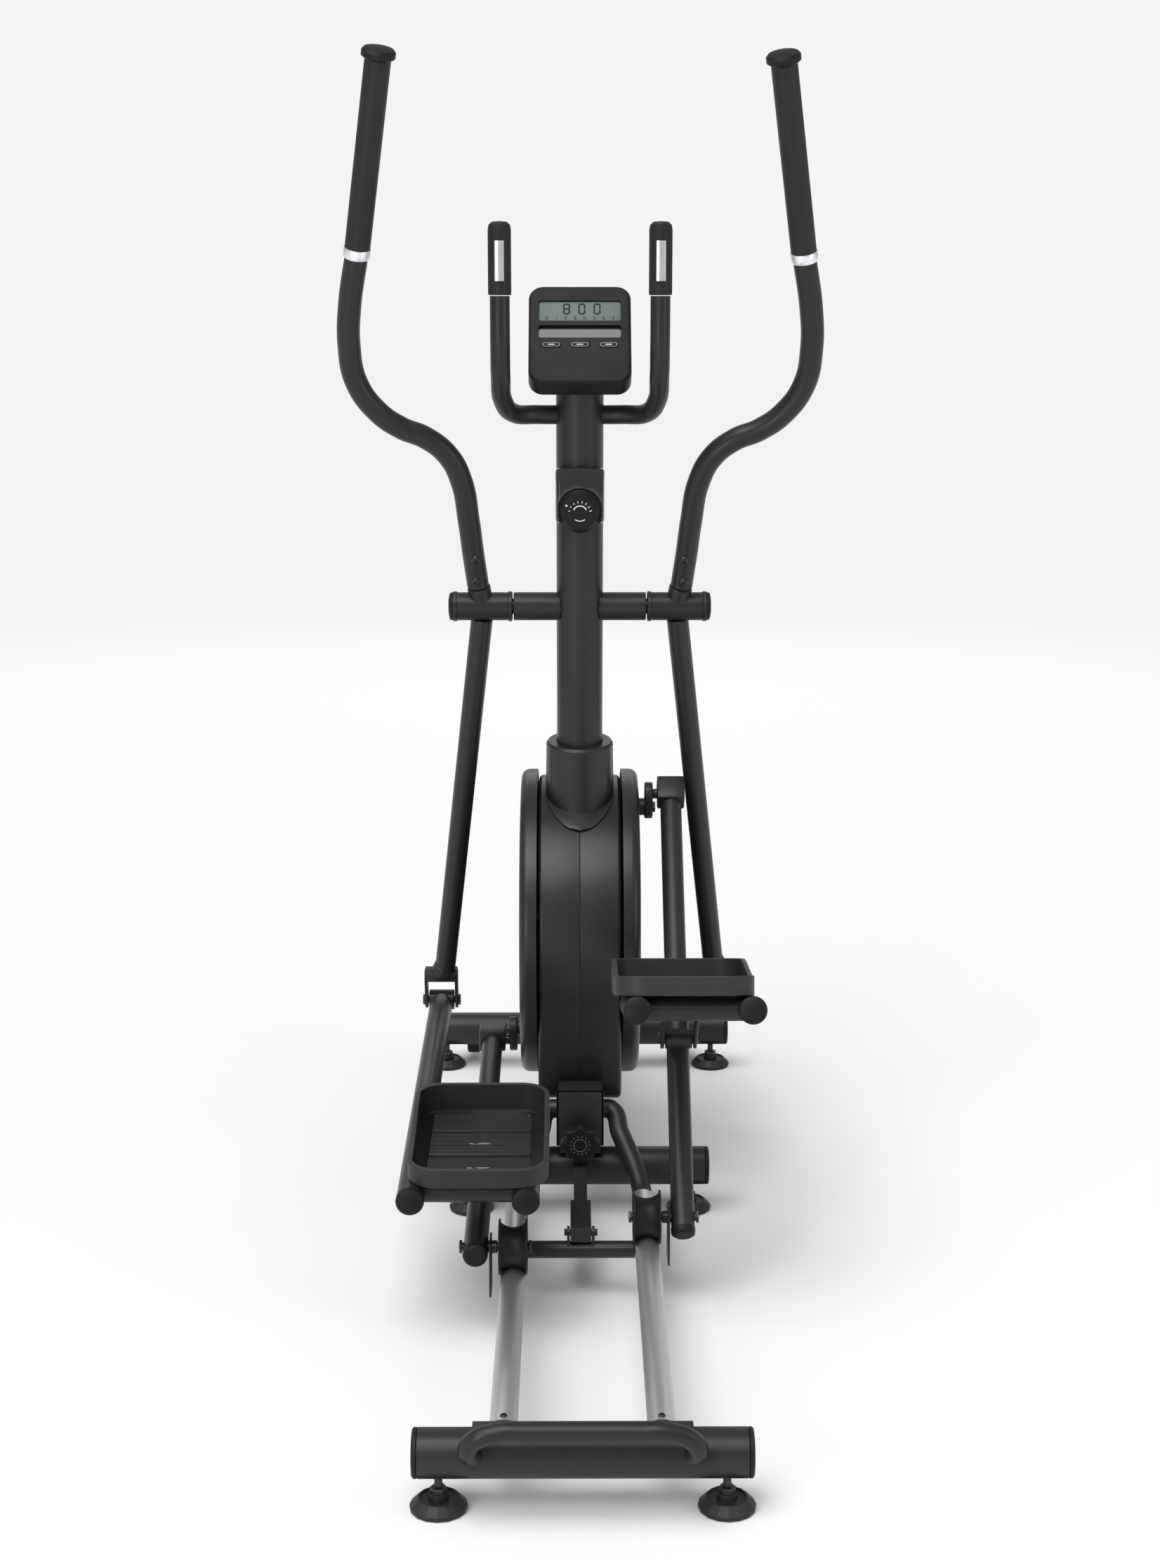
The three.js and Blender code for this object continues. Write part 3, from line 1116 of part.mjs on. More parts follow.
function pedal(side) {
  const floor = PEDAL_FLOOR;
  const top = floor + PEDAL_FRONT_WALL;
  const low = floor + PEDAL_REAR_WALL;
  // A wedge takes the rim down from the front wall to the rear wall.
  const slope = new THREE.Shape();
  const knee = PEDAL_LENGTH * PEDAL_KNEE;
  const kneeUp = low + (top - low) * PEDAL_KNEE_RISE;
  slope.moveTo(-PAST, low);
  slope.lineTo(PEDAL_LENGTH * PEDAL_LOW_END, low);
  slope.quadraticCurveTo(knee * PEDAL_LOW_PULL, low + PEDAL_LOW_LIFT, knee, kneeUp);
  slope.quadraticCurveTo(PEDAL_LENGTH * PEDAL_HIGH_PULL, top, PEDAL_LENGTH, top);
  slope.lineTo(PEDAL_LENGTH, top + PAST);
  slope.lineTo(-PAST, top + PAST);
  slope.closePath();
  const wedge = sideExtrude(slope, PEDAL_INNER_X - PAST, PEDAL_OUTER_X + PAST, 8);
  const shapes = [cut(trayBlock(0, 0, top), trayBlock(PEDAL_WALL, floor, top + PAST), wedge)];
  const ribX0 = PEDAL_INNER_X + PEDAL_RIB_INSET;
  const ribX1 = PEDAL_OUTER_X - PEDAL_RIB_INSET;
  for (const share of PEDAL_RIB_SHARES) {
    const y = PEDAL_LENGTH * share;
    shapes.push(box(ribX0, ribX1, y - PEDAL_RIB / 2, y + PEDAL_RIB / 2, floor - 1, floor + PEDAL_RIB_PROUD));
  }
  const tray = join(...shapes);
  if (side < 0) {
    tray.scale(-1, 1, 1);
    tray.index.array.reverse();
  }
  tray.translate(0, -LINK_LENGTH + PEDAL_BEHIND, LINK_TUBE_RADIUS + GAP);
  return tray;
}

function buildLink(sideName, side, rest) {
  const link = sideGroup(rest.clevis, rest.linkPitch);
  piece(`link_frame_${sideName}`, linkFrame(side), blackPaint(), link);
  piece(`pedal_${sideName}`, pedal(side), greyPlastic(), link);
}

// ------------------------------------------------------- pedal arms, rollers
function pedalArm(side) {
  const x = side * ARM_X;
  const blockBack = ARM_LENGTH - JOINT_BLOCK_LENGTH / 2;
  const half = JOINT_BLOCK_HALF;
  const depth = JOINT_BLOCK_DEPTH / 2;
  const shapes = [bar(ARM_TUBE_RADIUS, [x, -ARM_OVERHANG, 0], [x, blockBack + JOINT_BLOCK_LAP, 0])];
  const blockFront = ARM_LENGTH + JOINT_BLOCK_LENGTH / 2;
  shapes.push(box(x - half, x + half, blockBack, blockFront, -depth + JOINT_BLOCK_CHIN, depth));
  const roundAt = -depth + JOINT_BLOCK_ROUND;
  shapes.push(bar(JOINT_BLOCK_ROUND, [x, blockBack, roundAt], [x, blockFront, roundAt]));
  const pinEnd = endPlateOuter + GAP;
  shapes.push(crossBar(PIN_RADIUS, side * pinEnd, x, ARM_LENGTH, 0));
  const y = ARM_PIVOT_ALONG;
  shapes.push(crossBar(ARM_SLEEVE_RADIUS, x - ARM_SLEEVE_HALF, x + ARM_SLEEVE_HALF, y, ARM_PIVOT_ABOVE));
  const pad = ARM_PAD_HALF;
  shapes.push(box(x - pad, x + pad, y - pad, y + pad, 0, ARM_PIVOT_ABOVE));
  // The roller's axle bolt, its spacer and the guard plate beside the rail.
  const rollerOuter = RAIL_X + ROLLER_WIDTH / 2;
  const axleInner = RAIL_X - ROLLER_WIDTH / 2 - CLEAR;
  const axleEnd = ARM_X + ARM_TUBE_RADIUS + BOLT_HEAD;
  shapes.push(crossBar(BOLT_RADIUS, side * (axleInner - BOLT_HEAD), side * axleEnd));
  shapes.push(crossBar(BOLT_HEAD_RADIUS, side * (axleInner - BOLT_HEAD), side * axleInner, 0, 0, 6));
  const headFrom = axleEnd - AXLE_HEAD_SINK;
  shapes.push(crossBar(BOLT_HEAD_RADIUS, side * headFrom, side * (headFrom + BOLT_HEAD), 0, 0, 6));
  shapes.push(crossBar(BOLT_HEAD_RADIUS, side * (rollerOuter + CLEAR), side * ARM_X));
  const sleeveEnd = ARM_SLEEVE_HALF + PAST;
  const bore = crossBar(BOLT_RADIUS + RUNNING_GAP, x - sleeveEnd, x + sleeveEnd, y, ARM_PIVOT_ABOVE, 16);
  return cut(join(...shapes), bore);
}

// The guard hangs plumb beside the rail, whatever the arm's pitch is.
function guard(side, armPitch) {
  const inner = ARM_X - ARM_TUBE_RADIUS - GUARD_THICK - GUARD_SPACE;
  const [x0, x1] = span(side, inner, inner + GUARD_THICK);
  const plate = box(x0, x1, -GUARD_WIDTH / 2, GUARD_WIDTH / 2, -GUARD_DROP, GUARD_RISE);
  plate.rotateX(-armPitch);
  return plate;
}

function roller(side) {
  const half = ROLLER_WIDTH / 2;
  const bore = BOLT_RADIUS + RUNNING_GAP;
  const chord = COVER_WIDTH / 2;
  const coverRadius = (chord ** 2 + COVER_RISE ** 2) / (2 * COVER_RISE) + RUNNING_GAP;
  const groove = [];
  const steps = 5;
  const edge = chord + RUNNING_GAP;
  for (let step = 0; step <= steps; step += 1) {
    const offset = edge - (2 * edge * step) / steps;
    const fall = coverRadius - Math.sqrt(coverRadius ** 2 - offset ** 2);
    groove.push([ROLLER_WAIST + fall, offset]);
  }
  const profile = [
    [bore, -half], [ROLLER_RIM - ROLLER_EASE, -half], [ROLLER_RIM, -half + ROLLER_EASE_ALONG],
    [ROLLER_RIM, -edge], ...groove.reverse(), [ROLLER_RIM, edge],
    [ROLLER_RIM, half - ROLLER_EASE_ALONG], [ROLLER_RIM - ROLLER_EASE, half],
    [bore, half], [bore, -half],
  ];
  const shape = turned(profile, 0, 0, WIDE);
  shape.translate(side * RAIL_X, 0, 0);
  return shape;
}

function buildArm(sideName, side, rest) {
  const arm = sideGroup(rest.roller, rest.armPitch);
  piece(`pedal_arm_${sideName}`, join(pedalArm(side), guard(side, rest.armPitch)), blackPaint(), arm);
  piece(`roller_${sideName}`, roller(side), blackPlastic(), arm);
}

// ------------------------------------------------------- console
// The face's own frame: X sideways, Y up the face, Z out of the face.
function consoleGroup() {
  const nested = new THREE.Group();
  nested.position.set(0, CONSOLE_Y, CONSOLE_Z);
  nested.rotation.x = Math.PI / 2 - degrees(CONSOLE_TILT);
  machine.add(nested);
  return nested;
}

function roundedPanel(half, height, corner, z0, z1, round = 0) {
  const top = height / 2;
  const shape = new THREE.Shape();
  shape.moveTo(-half + corner, -top);
  shape.absarc(half - corner, -top + corner, corner, -Math.PI / 2, 0, false);
  shape.absarc(half - corner, top - corner, corner, 0, Math.PI / 2, false);
  shape.absarc(-half + corner, top - corner, corner, Math.PI / 2, Math.PI, false);
  shape.absarc(-half + corner, -top + corner, corner, Math.PI, 1.5 * Math.PI, false);
  shape.closePath();
  const settings = {
    depth: z1 - z0 - 2 * round,
    bevelEnabled: round > 0,
    bevelThickness: round,
    bevelSize: round,
    bevelOffset: -round,
    bevelSegments: 1,
    curveSegments: 2,
  };
  const panel = new THREE.ExtrudeGeometry(shape, settings);
  panel.translate(0, 0, z0 + round);
  return panel;
}

function buildConsole() {
  const face = consoleGroup();
  face.updateMatrix();
  const body = roundedPanel(CONSOLE_HALF, CONSOLE_LENGTH, CONSOLE_CORNER, -CONSOLE_THICK, 0, CONSOLE_ROUND);
  const pocketFloor = -SCREEN_SINK - SCREEN_THICK;
  const screenPocket = roundedPanel(SCREEN_HALF, SCREEN_HEIGHT, POCKET_CORNER, pocketFloor, PAST);
  screenPocket.translate(0, SCREEN_UP, 0);
  const dock = roundedPanel(SCREEN_HALF, DOCK_HEIGHT, POCKET_CORNER, -DOCK_DEPTH, PAST);
  dock.translate(0, DOCK_UP, 0);
  const tools = [screenPocket, dock];
  for (const step of [-1, 0, 1]) {
    const height = BUTTON_HEIGHT + 2 * GAP;
    const wellFloor = -BUTTON_DEPTH - WELL_BELOW;
    const well = roundedPanel(BUTTON_HALF + GAP, height, POCKET_CORNER, wellFloor, PAST);
    well.translate(step * BUTTON_SPREAD, BUTTON_UP, 0);
    tools.push(well);
  }
  const mast = mastBar(MAST_RADIUS + GAP, MAST_TOP - MAST_INTO_CONSOLE, MAST_TOP + GAP);
  mast.applyMatrix4(face.matrix.clone().invert());
  piece('console_case', cut(body, ...tools, mast), blackPlastic(), face);

  const screenBack = pocketFloor + GAP;
  const tall = SCREEN_HEIGHT - 2 * GAP;
  const screen = roundedPanel(SCREEN_HALF - GAP, tall, POCKET_CORNER, screenBack, -SCREEN_SINK);
  screen.translate(0, SCREEN_UP, 0);
  piece('console_screen', screen, screenGlass(), face);
  const names = ['button_left', 'button_middle', 'button_right'];
  names.forEach((name, index) => {
    const key = roundedPanel(BUTTON_HALF, BUTTON_HEIGHT, POCKET_CORNER, -BUTTON_DEPTH, BUTTON_PROUD);
    key.translate((index - 1) * BUTTON_SPREAD, BUTTON_UP, 0);
    piece(name, key, greyPlastic(), face);
  });
}

function buildPulse() {
  piece('pulse_bar', bentBar(PULSE_RADIUS, pulsePath(), 26), blackPaint());
  for (const [sideName, side] of sides) {
    const x = side * PULSE_X;
    const grip = bar(PULSE_GRIP_RADIUS, [x, PULSE_Y, PULSE_GRIP_BOTTOM], [x, PULSE_Y, PULSE_GRIP_TOP]);
    piece(`pulse_grip_${sideName}`, grip, blackPlastic());
  }
}

// ------------------------------------------------------- tension control
// A bar square to the mast, from one distance behind its axis to another.
function tensionBar(radius, from, to, sides = ROUND) {
  const unit = new THREE.Vector2(1, MAST_LEAN).normalize();
  const y = mastAt(TENSION_Z);
  const at = (distance) => [0, y + unit.x * distance, TENSION_Z + unit.y * distance];
  return bar(radius, at(from), at(to), radius, sides);
}

function buildTension() {
  const y = mastAt(TENSION_Z);
  const front = y - MAST_RADIUS - TENSION_BLOCK_DEPTH;
  const low = TENSION_Z - TENSION_BLOCK_DOWN;
  const high = TENSION_Z + TENSION_BLOCK_UP;
  const block = box(-TENSION_BLOCK_HALF, TENSION_BLOCK_HALF, front, y, low, high);
  const faceBack = -MAST_RADIUS - TENSION_SEAT;
  const knobRoom = tensionBar(TENSION_RADIUS + CLEAR, faceBack - FAR, faceBack);
  const hole = tensionBar(TENSION_SHANK + RUNNING_GAP, -MAST_RADIUS - FAR, 0, 16);
  const mast = mastBar(MAST_RADIUS + GAP, low - FAR, high + FAR);
  piece('tension_bracket', cut(block, knobRoom, hole, mast), blackPlastic());
  const head = tensionBar(TENSION_RADIUS, faceBack - GAP - TENSION_THICK, faceBack - GAP, WIDE);
  const shankEnd = -MAST_RADIUS + TENSION_SHANK_PAST;
  const shank = tensionBar(TENSION_SHANK, faceBack - TENSION_SHANK_LAP, shankEnd, 16);
  piece('tension_knob', join(head, shank), blackPlastic());
}

buildBase();
buildRails();
buildBracket();
buildMast();
buildShroud();
buildDrive();
for (const [sideName, side] of sides) {
  const rest = linkageAtRest(side);
  buildSwing(sideName, side, rest);
  buildLink(sideName, side, rest);
  buildArm(sideName, side, rest);
}
buildConsole();
buildPulse();
buildTension();

export default group;
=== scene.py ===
# %% [markdown]
# # An elliptical trainer
# The machine's frame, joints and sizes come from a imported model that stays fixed. This lesson gives
# that frame its finished surfaces: round tubes, moulded shells, grips, rollers and screws.

# %% Load the fixed frame
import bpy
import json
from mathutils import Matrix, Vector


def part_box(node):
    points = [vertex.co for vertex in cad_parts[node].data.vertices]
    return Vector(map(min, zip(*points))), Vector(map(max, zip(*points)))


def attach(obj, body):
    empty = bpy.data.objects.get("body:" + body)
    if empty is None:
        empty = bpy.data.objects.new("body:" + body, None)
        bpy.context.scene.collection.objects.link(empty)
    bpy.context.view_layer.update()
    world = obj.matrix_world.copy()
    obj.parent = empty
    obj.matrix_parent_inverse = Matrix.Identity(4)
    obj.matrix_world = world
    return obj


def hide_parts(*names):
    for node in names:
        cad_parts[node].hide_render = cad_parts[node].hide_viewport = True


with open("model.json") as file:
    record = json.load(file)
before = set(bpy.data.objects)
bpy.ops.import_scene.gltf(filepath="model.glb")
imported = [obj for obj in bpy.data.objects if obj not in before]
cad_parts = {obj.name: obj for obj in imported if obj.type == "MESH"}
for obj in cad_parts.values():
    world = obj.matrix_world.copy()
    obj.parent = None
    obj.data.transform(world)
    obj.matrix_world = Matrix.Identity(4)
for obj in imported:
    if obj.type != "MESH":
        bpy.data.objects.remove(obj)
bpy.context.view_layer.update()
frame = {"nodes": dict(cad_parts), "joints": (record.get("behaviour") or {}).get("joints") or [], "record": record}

# %% [markdown]
# ## Measuring the frame
# Every position below is read from the frame: a node's box gives its corners, and a joint gives the
# point that a part turns about.

# %% Measure the frame
import json
import math

import bmesh
import bpy
from mathutils import Matrix, Vector

joints = {joint["name"]: joint for joint in frame["joints"]}
slots = {entry["slot"]: entry["base_color"] for entry in frame["record"]["materials"]}
SIDES = {"left": -1, "right": 1}


def joint_at(name):
    return Vector(joints[name]["pos_m"])


# %% [markdown]
# ## Shared effects
# Powder coat, moulded plastic and drawn metal differ in numbers, not in kind: each has a fine relief,
# a slow drift of colour and gloss, paler edges and a little dust on top. Each effect is built once as
# a node group, and every material places it with its own values. A few small tools make the nodes.

# %% Tools for node groups
def new_group(name, inputs, outputs):
    tree = bpy.data.node_groups.new(name, "ShaderNodeTree")
    for label, kind, value in inputs:
        socket = tree.interface.new_socket(label, in_out="INPUT", socket_type="NodeSocket" + kind)
        if value is not None:
            socket.default_value = value
    for label, kind in outputs:
        tree.interface.new_socket(label, in_out="OUTPUT", socket_type="NodeSocket" + kind)
    return tree, tree.nodes.new("NodeGroupInput"), tree.nodes.new("NodeGroupOutput")


def maths(tree, operation, first, second):
    node = tree.nodes.new("ShaderNodeMath")
    node.operation = operation
    for socket, value in zip(node.inputs, (first, second)):
        if isinstance(value, (int, float)):
            socket.default_value = value
        else:
            tree.links.new(value, socket)
    return node.outputs[0]


def noise(tree, vector, scale, detail=2.0):
    node = tree.nodes.new("ShaderNodeTexNoise")
    node.inputs["Detail"].default_value = detail
    tree.links.new(vector, node.inputs["Vector"])
    if isinstance(scale, (int, float)):
        node.inputs["Scale"].default_value = scale
    else:
        tree.links.new(scale, node.inputs["Scale"])
    return node.outputs["Fac"]


def mix(tree, factor, first, second):
    node = tree.nodes.new("ShaderNodeMix")
    node.data_type = "RGBA"
    tree.links.new(factor, node.inputs[0])
    tree.links.new(first, node.inputs[6])
    tree.links.new(second, node.inputs[7])
    return node.outputs[2]


print("tools for node groups: new_group, maths, noise, mix")

# %% [markdown]
# ## Grain
# Up close, moulded plastic and powder coat are finely pebbled. A fine noise gives that relief, and two
# slower ones let the colour and the gloss drift, so that a large surface is never one flat tone.

# %% Grain
def build_grain():
    tree, source, sink = new_group(
        "fine_grain",
        [("Vector", "Vector", None), ("Colour", "Color", None), ("Drift colour", "Color", None),
         ("Scale", "Float", 900.0), ("Roughness", "Float", 0.5), ("Spread", "Float", 0.1)],
        [("Colour", "Color"), ("Roughness", "Float"), ("Height", "Float")],
    )
    vector = source.outputs["Vector"]
    slow = noise(tree, vector, 7.0, 4.0)
    fine = noise(tree, vector, source.outputs["Scale"], 3.0)
    tree.links.new(mix(tree, slow, source.outputs["Colour"], source.outputs["Drift colour"]), sink.inputs[0])
    blotch = maths(tree, "SUBTRACT", noise(tree, vector, 26.0, 5.0), 0.5)
    shift = maths(tree, "MULTIPLY", blotch, source.outputs["Spread"])
    tree.links.new(maths(tree, "ADD", source.outputs["Roughness"], shift), sink.inputs[1])
    tree.links.new(fine, sink.inputs[2])
    return tree


effects = {"grain": build_grain()}
print(effects["grain"].name, "has", len(effects["grain"].nodes), "nodes")

# %% [markdown]
# ## Edge wear
# Paint and plastic go pale where they are rubbed, which is along edges. Pointiness is high there, and
# a broken noise keeps the wear from being an even line.

# %% Edge wear
def build_wear():
    tree, source, sink = new_group(
        "edge_wear",
        [("Vector", "Vector", None), ("Colour", "Color", None), ("Worn colour", "Color", None),
         ("Amount", "Float", 0.3)],
        [("Colour", "Color")],
    )
    corner = tree.nodes.new("ShaderNodeNewGeometry").outputs["Pointiness"]
    sharp = tree.nodes.new("ShaderNodeMapRange")
    tree.links.new(corner, sharp.inputs["Value"])
    sharp.inputs["From Min"].default_value = 0.53
    sharp.inputs["From Max"].default_value = 0.62
    broken = maths(tree, "MULTIPLY", sharp.outputs[0], noise(tree, source.outputs["Vector"], 60.0, 4.0))
    mask = maths(tree, "MULTIPLY", broken, source.outputs["Amount"])
    tree.links.new(mix(tree, mask, source.outputs["Colour"], source.outputs["Worn colour"]), sink.inputs[0])
    return tree


effects["wear"] = build_wear()
print(effects["wear"].name, "has", len(effects["wear"].nodes), "nodes")

# %% [markdown]
# ## Dust
# A little dust settles on what faces up. The surface's own normal says how far it faces up, and a
# patchy noise breaks the layer.

# %% Dust
def build_dust():
    tree, source, sink = new_group(
        "dust",
        [("Vector", "Vector", None), ("Colour", "Color", None), ("Dust colour", "Color", None),
         ("Amount", "Float", 0.05)],
        [("Colour", "Color")],
    )
    parted = tree.nodes.new("ShaderNodeSeparateXYZ")
    tree.links.new(tree.nodes.new("ShaderNodeNewGeometry").outputs["Normal"], parted.inputs[0])
    upward = maths(tree, "MAXIMUM", parted.outputs["Z"], 0.0)
    patchy = maths(tree, "MULTIPLY", upward, noise(tree, source.outputs["Vector"], 35.0, 6.0))
    mask = maths(tree, "MULTIPLY", patchy, source.outputs["Amount"])
    tree.links.new(mix(tree, mask, source.outputs["Colour"], source.outputs["Dust colour"]), sink.inputs[0])
    return tree


effects["dust"] = build_dust()
print("shared effects:", sorted(effects))

# %% [markdown]
# ## Finishes
# Most finishes take their main colour from the record's material slot, and a few, such as the printed
# marks, name their own. The relief is a Bump node fed by the grain's height: powder coat is fine and
# shallow, the pedals are coarse, and the rail strips' grain is stretched along them into streaks.

# %% Materials
def finish(slot, roughness, spread=0.12, scale=900.0, relief=0.15, drift=1.35, metallic=0.0,
           wear=0.25, dust=0.06, stretch=(1, 1, 1), colour=None, coat=0.0, sheen=0.5, depth=1.0):
    base = [value * depth for value in list(colour or slots[slot])[:3]] + [1.0]
    material = bpy.data.materials.new(slot)
    material.use_nodes = True
    tree = material.node_tree
    shader = tree.nodes["Principled BSDF"]
    shader.inputs["Metallic"].default_value = metallic
    shader.inputs["Coat Weight"].default_value = coat
    shader.inputs["Specular IOR Level"].default_value = sheen
    where = tree.nodes.new("ShaderNodeTexCoord").outputs["Object"]
    mapping = tree.nodes.new("ShaderNodeMapping")
    mapping.inputs["Scale"].default_value = stretch
    tree.links.new(where, mapping.inputs["Vector"])
    placed = {}
    for effect in ("grain", "wear", "dust"):
        node = tree.nodes.new("ShaderNodeGroup")
        node.node_tree = effects[effect]
        tree.links.new(mapping.outputs[0], node.inputs["Vector"])
        placed[effect] = node
    grain = placed["grain"]
    grain.inputs["Colour"].default_value = base
    grain.inputs["Drift colour"].default_value = [min(1.0, value * drift) for value in base[:3]] + [1.0]
    grain.inputs["Scale"].default_value = scale
    grain.inputs["Roughness"].default_value = roughness
    grain.inputs["Spread"].default_value = spread
    placed["wear"].inputs["Worn colour"].default_value = [min(1.0, v * 2.5 + 0.05) for v in base[:3]] + [1.0]
    placed["wear"].inputs["Amount"].default_value = wear
    placed["dust"].inputs["Dust colour"].default_value = (0.45, 0.44, 0.42, 1.0)
    placed["dust"].inputs["Amount"].default_value = dust
    tree.links.new(grain.outputs["Colour"], placed["wear"].inputs["Colour"])
    tree.links.new(placed["wear"].outputs["Colour"], placed["dust"].inputs["Colour"])
    tree.links.new(placed["dust"].outputs["Colour"], shader.inputs["Base Color"])
    tree.links.new(grain.outputs["Roughness"], shader.inputs["Roughness"])
    bump = tree.nodes.new("ShaderNodeBump")
    bump.inputs["Strength"].default_value = relief
    bump.inputs["Distance"].default_value = 0.0004
    tree.links.new(grain.outputs["Height"], bump.inputs["Height"])
    tree.links.new(bump.outputs["Normal"], shader.inputs["Normal"])
    return material, slot


LOOKS = {
    "paint": finish("black_paint", 0.38, scale=1500, relief=0.12, sheen=0.34, depth=0.38, dust=0.02),
    "shroud": finish("shroud_plastic", 0.36, scale=1100, relief=0.2, wear=0.1, sheen=0.42, depth=0.5,
                     dust=0.02),
    "plastic": finish("black_plastic", 0.48, scale=800, relief=0.18, sheen=0.2, depth=0.4, dust=0.015),
    "gloss": finish("gloss_plastic", 0.12, spread=0.05, scale=300, relief=0.03, coat=0.5),
    "grip": finish("grip_plastic", 0.5, scale=700, relief=0.3, dust=0.05, sheen=0.32, depth=0.6),
    "pedal": finish("grey_plastic", 0.5, scale=900, relief=0.35, dust=0.05, sheen=0.36, depth=0.45),
    "rubber": finish("rubber", 0.5, scale=420, relief=0.3, dust=0.05, sheen=0.35, depth=0.6),
    "bright": finish("bright_metal", 0.42, spread=0.1, scale=900, relief=0.04, colour=(0.9, 0.92, 0.94),
                     drift=0.85, metallic=1.0, wear=0.1, dust=0.02, stretch=(1, 0.02, 1)),
    "steel": finish("steel", 0.28, scale=600, relief=0.08, drift=0.8, metallic=1.0),
    "dark_steel": finish("steel", 0.34, scale=600, relief=0.08, colour=(0.03, 0.031, 0.034),
                         metallic=0.7),
    "iron": finish("cast_iron", 0.6, scale=350, relief=0.5, metallic=0.6),
    "screen": finish("screen", 0.3, spread=0.04, scale=1800, relief=0.02, drift=1.08, wear=0.0,
                     dust=0.02, sheen=0.2, depth=0.62),
    "ink": finish("screen", 0.5, colour=(0.012, 0.016, 0.013), wear=0.0, dust=0.0, sheen=0.1),
    "mark": finish("grip_plastic", 0.5, colour=(0.75, 0.76, 0.75), drift=0.9, wear=0.0),
    "dim_mark": finish("grip_plastic", 0.5, colour=(0.16, 0.19, 0.23), drift=0.9, wear=0.0),
    "sensor": finish("steel", 0.26, colour=(0.72, 0.71, 0.66), drift=0.92, metallic=0.9, wear=0.1),
}
for look, (material, slot) in LOOKS.items():
    material.name = look
print(len(LOOKS), "finishes:", ", ".join(LOOKS))

# %% [markdown]
# ## Turned parts
# Nearly everything here is turned, bent or cut from plate, so a few helpers cover the machine. Each
# returns a small bmesh, and a later cell joins several into one finished object. Spinning a short
# outline gives a perfectly round bar whose edges are already eased. A nut is a bar spun in six steps.

# %% Helpers for turned parts
def turned(profile, start, towards, steps=48, closed=False):
    part = bmesh.new()
    points = [part.verts.new((radius, 0, along)) for radius, along in profile]
    edges = [part.edges.new(pair) for pair in zip(points, points[1:])]
    if closed:
        edges.append(part.edges.new((points[-1], points[0])))
    bmesh.ops.spin(part, geom=points + edges, cent=(0, 0, 0), axis=(0, 0, 1), dvec=(0, 0, 0),
                   angle=math.tau, steps=steps, use_merge=True)
    bmesh.ops.remove_doubles(part, verts=part.verts, dist=1e-6)
    bmesh.ops.recalc_face_normals(part, faces=part.faces)
    aim = (Vector(towards) - Vector(start)).to_track_quat("Z", "Y").to_matrix().to_4x4()
    part.transform(Matrix.Translation(start) @ aim)
    return part


def rod(radius, start, end, end_radius=None, ease=0.001, steps=48):
    length = (Vector(end) - Vector(start)).length
    far = end_radius or radius
    profile = [(0, 0), (radius - ease, 0), (radius, ease), (far, length - ease), (far - ease, length),
               (0, length)]
    return turned(profile, start, end, steps)


def hexagon(radius, start, end):
    return rod(radius, start, end, ease=0.0006, steps=6)


def screw(at, towards, radius=0.005):
    out = Vector(towards).normalized()
    head = radius * 0.6
    profile = [(0, -0.001), (radius, -0.001), (radius, head * 0.4), (radius * 0.8, head * 0.85),
               (radius * 0.5, head), (radius * 0.45, head * 0.4), (0, head * 0.4)]
    return turned(profile, Vector(at), Vector(at) + out, 24)


tried = rod(0.01, (0, 0, 0), (0, 0, 0.1))
print("a plain rod has", len(tried.faces), "faces")
tried.free()

# %% [markdown]
# ## Bent tubes
# The handles, the pulse bar and the rails' bows are one tube each, bent cold. A curve with a round
# section follows a few points smoothly. It becomes a mesh with closed ends, and its doubles are merged.

# %% Helper for bent tubes
def bent(points, radius, sides=8):
    curve = bpy.data.curves.new("route", "CURVE")
    curve.dimensions = "3D"
    curve.bevel_depth = radius
    curve.bevel_resolution = sides
    curve.use_fill_caps = True
    spline = curve.splines.new("BEZIER")
    spline.bezier_points.add(len(points) - 1)
    for knot, point in zip(spline.bezier_points, points):
        knot.co = point
        knot.handle_left_type = "AUTO"
        knot.handle_right_type = "AUTO"
    carrier = bpy.data.objects.new("route", curve)
    bpy.context.scene.collection.objects.link(carrier)
    bpy.context.view_layer.update()
    mesh = bpy.data.meshes.new_from_object(carrier.evaluated_get(bpy.context.evaluated_depsgraph_get()))
    part = bmesh.new()
    part.from_mesh(mesh)
    bpy.data.objects.remove(carrier)
    bpy.data.curves.remove(curve)
    bpy.data.meshes.remove(mesh)
    bmesh.ops.remove_doubles(part, verts=part.verts, dist=1e-6)
    bmesh.ops.recalc_face_normals(part, faces=part.faces)
    return part


tried = bent([(0, 0, 0), (0, 0, 0.1), (0, 0.05, 0.15)], 0.01)
print("a bent tube has", len(tried.faces), "faces")
tried.free()

# %% [markdown]
# ## Plates and blocks
# A plate is a flat outline extruded to its thickness, with the edges of each face eased on their own,
# because a real plate is often rounder on the side that shows. A block is a cube sized and bevelled.

# %% Helpers for plates and blocks
def bevel_edges(part, edges, width, segments):
    if width:
        bmesh.ops.bevel(part, geom=edges, offset=width, offset_type="OFFSET", affect="EDGES",
                        segments=segments, profile=0.5, material=-1, clamp_overlap=True)


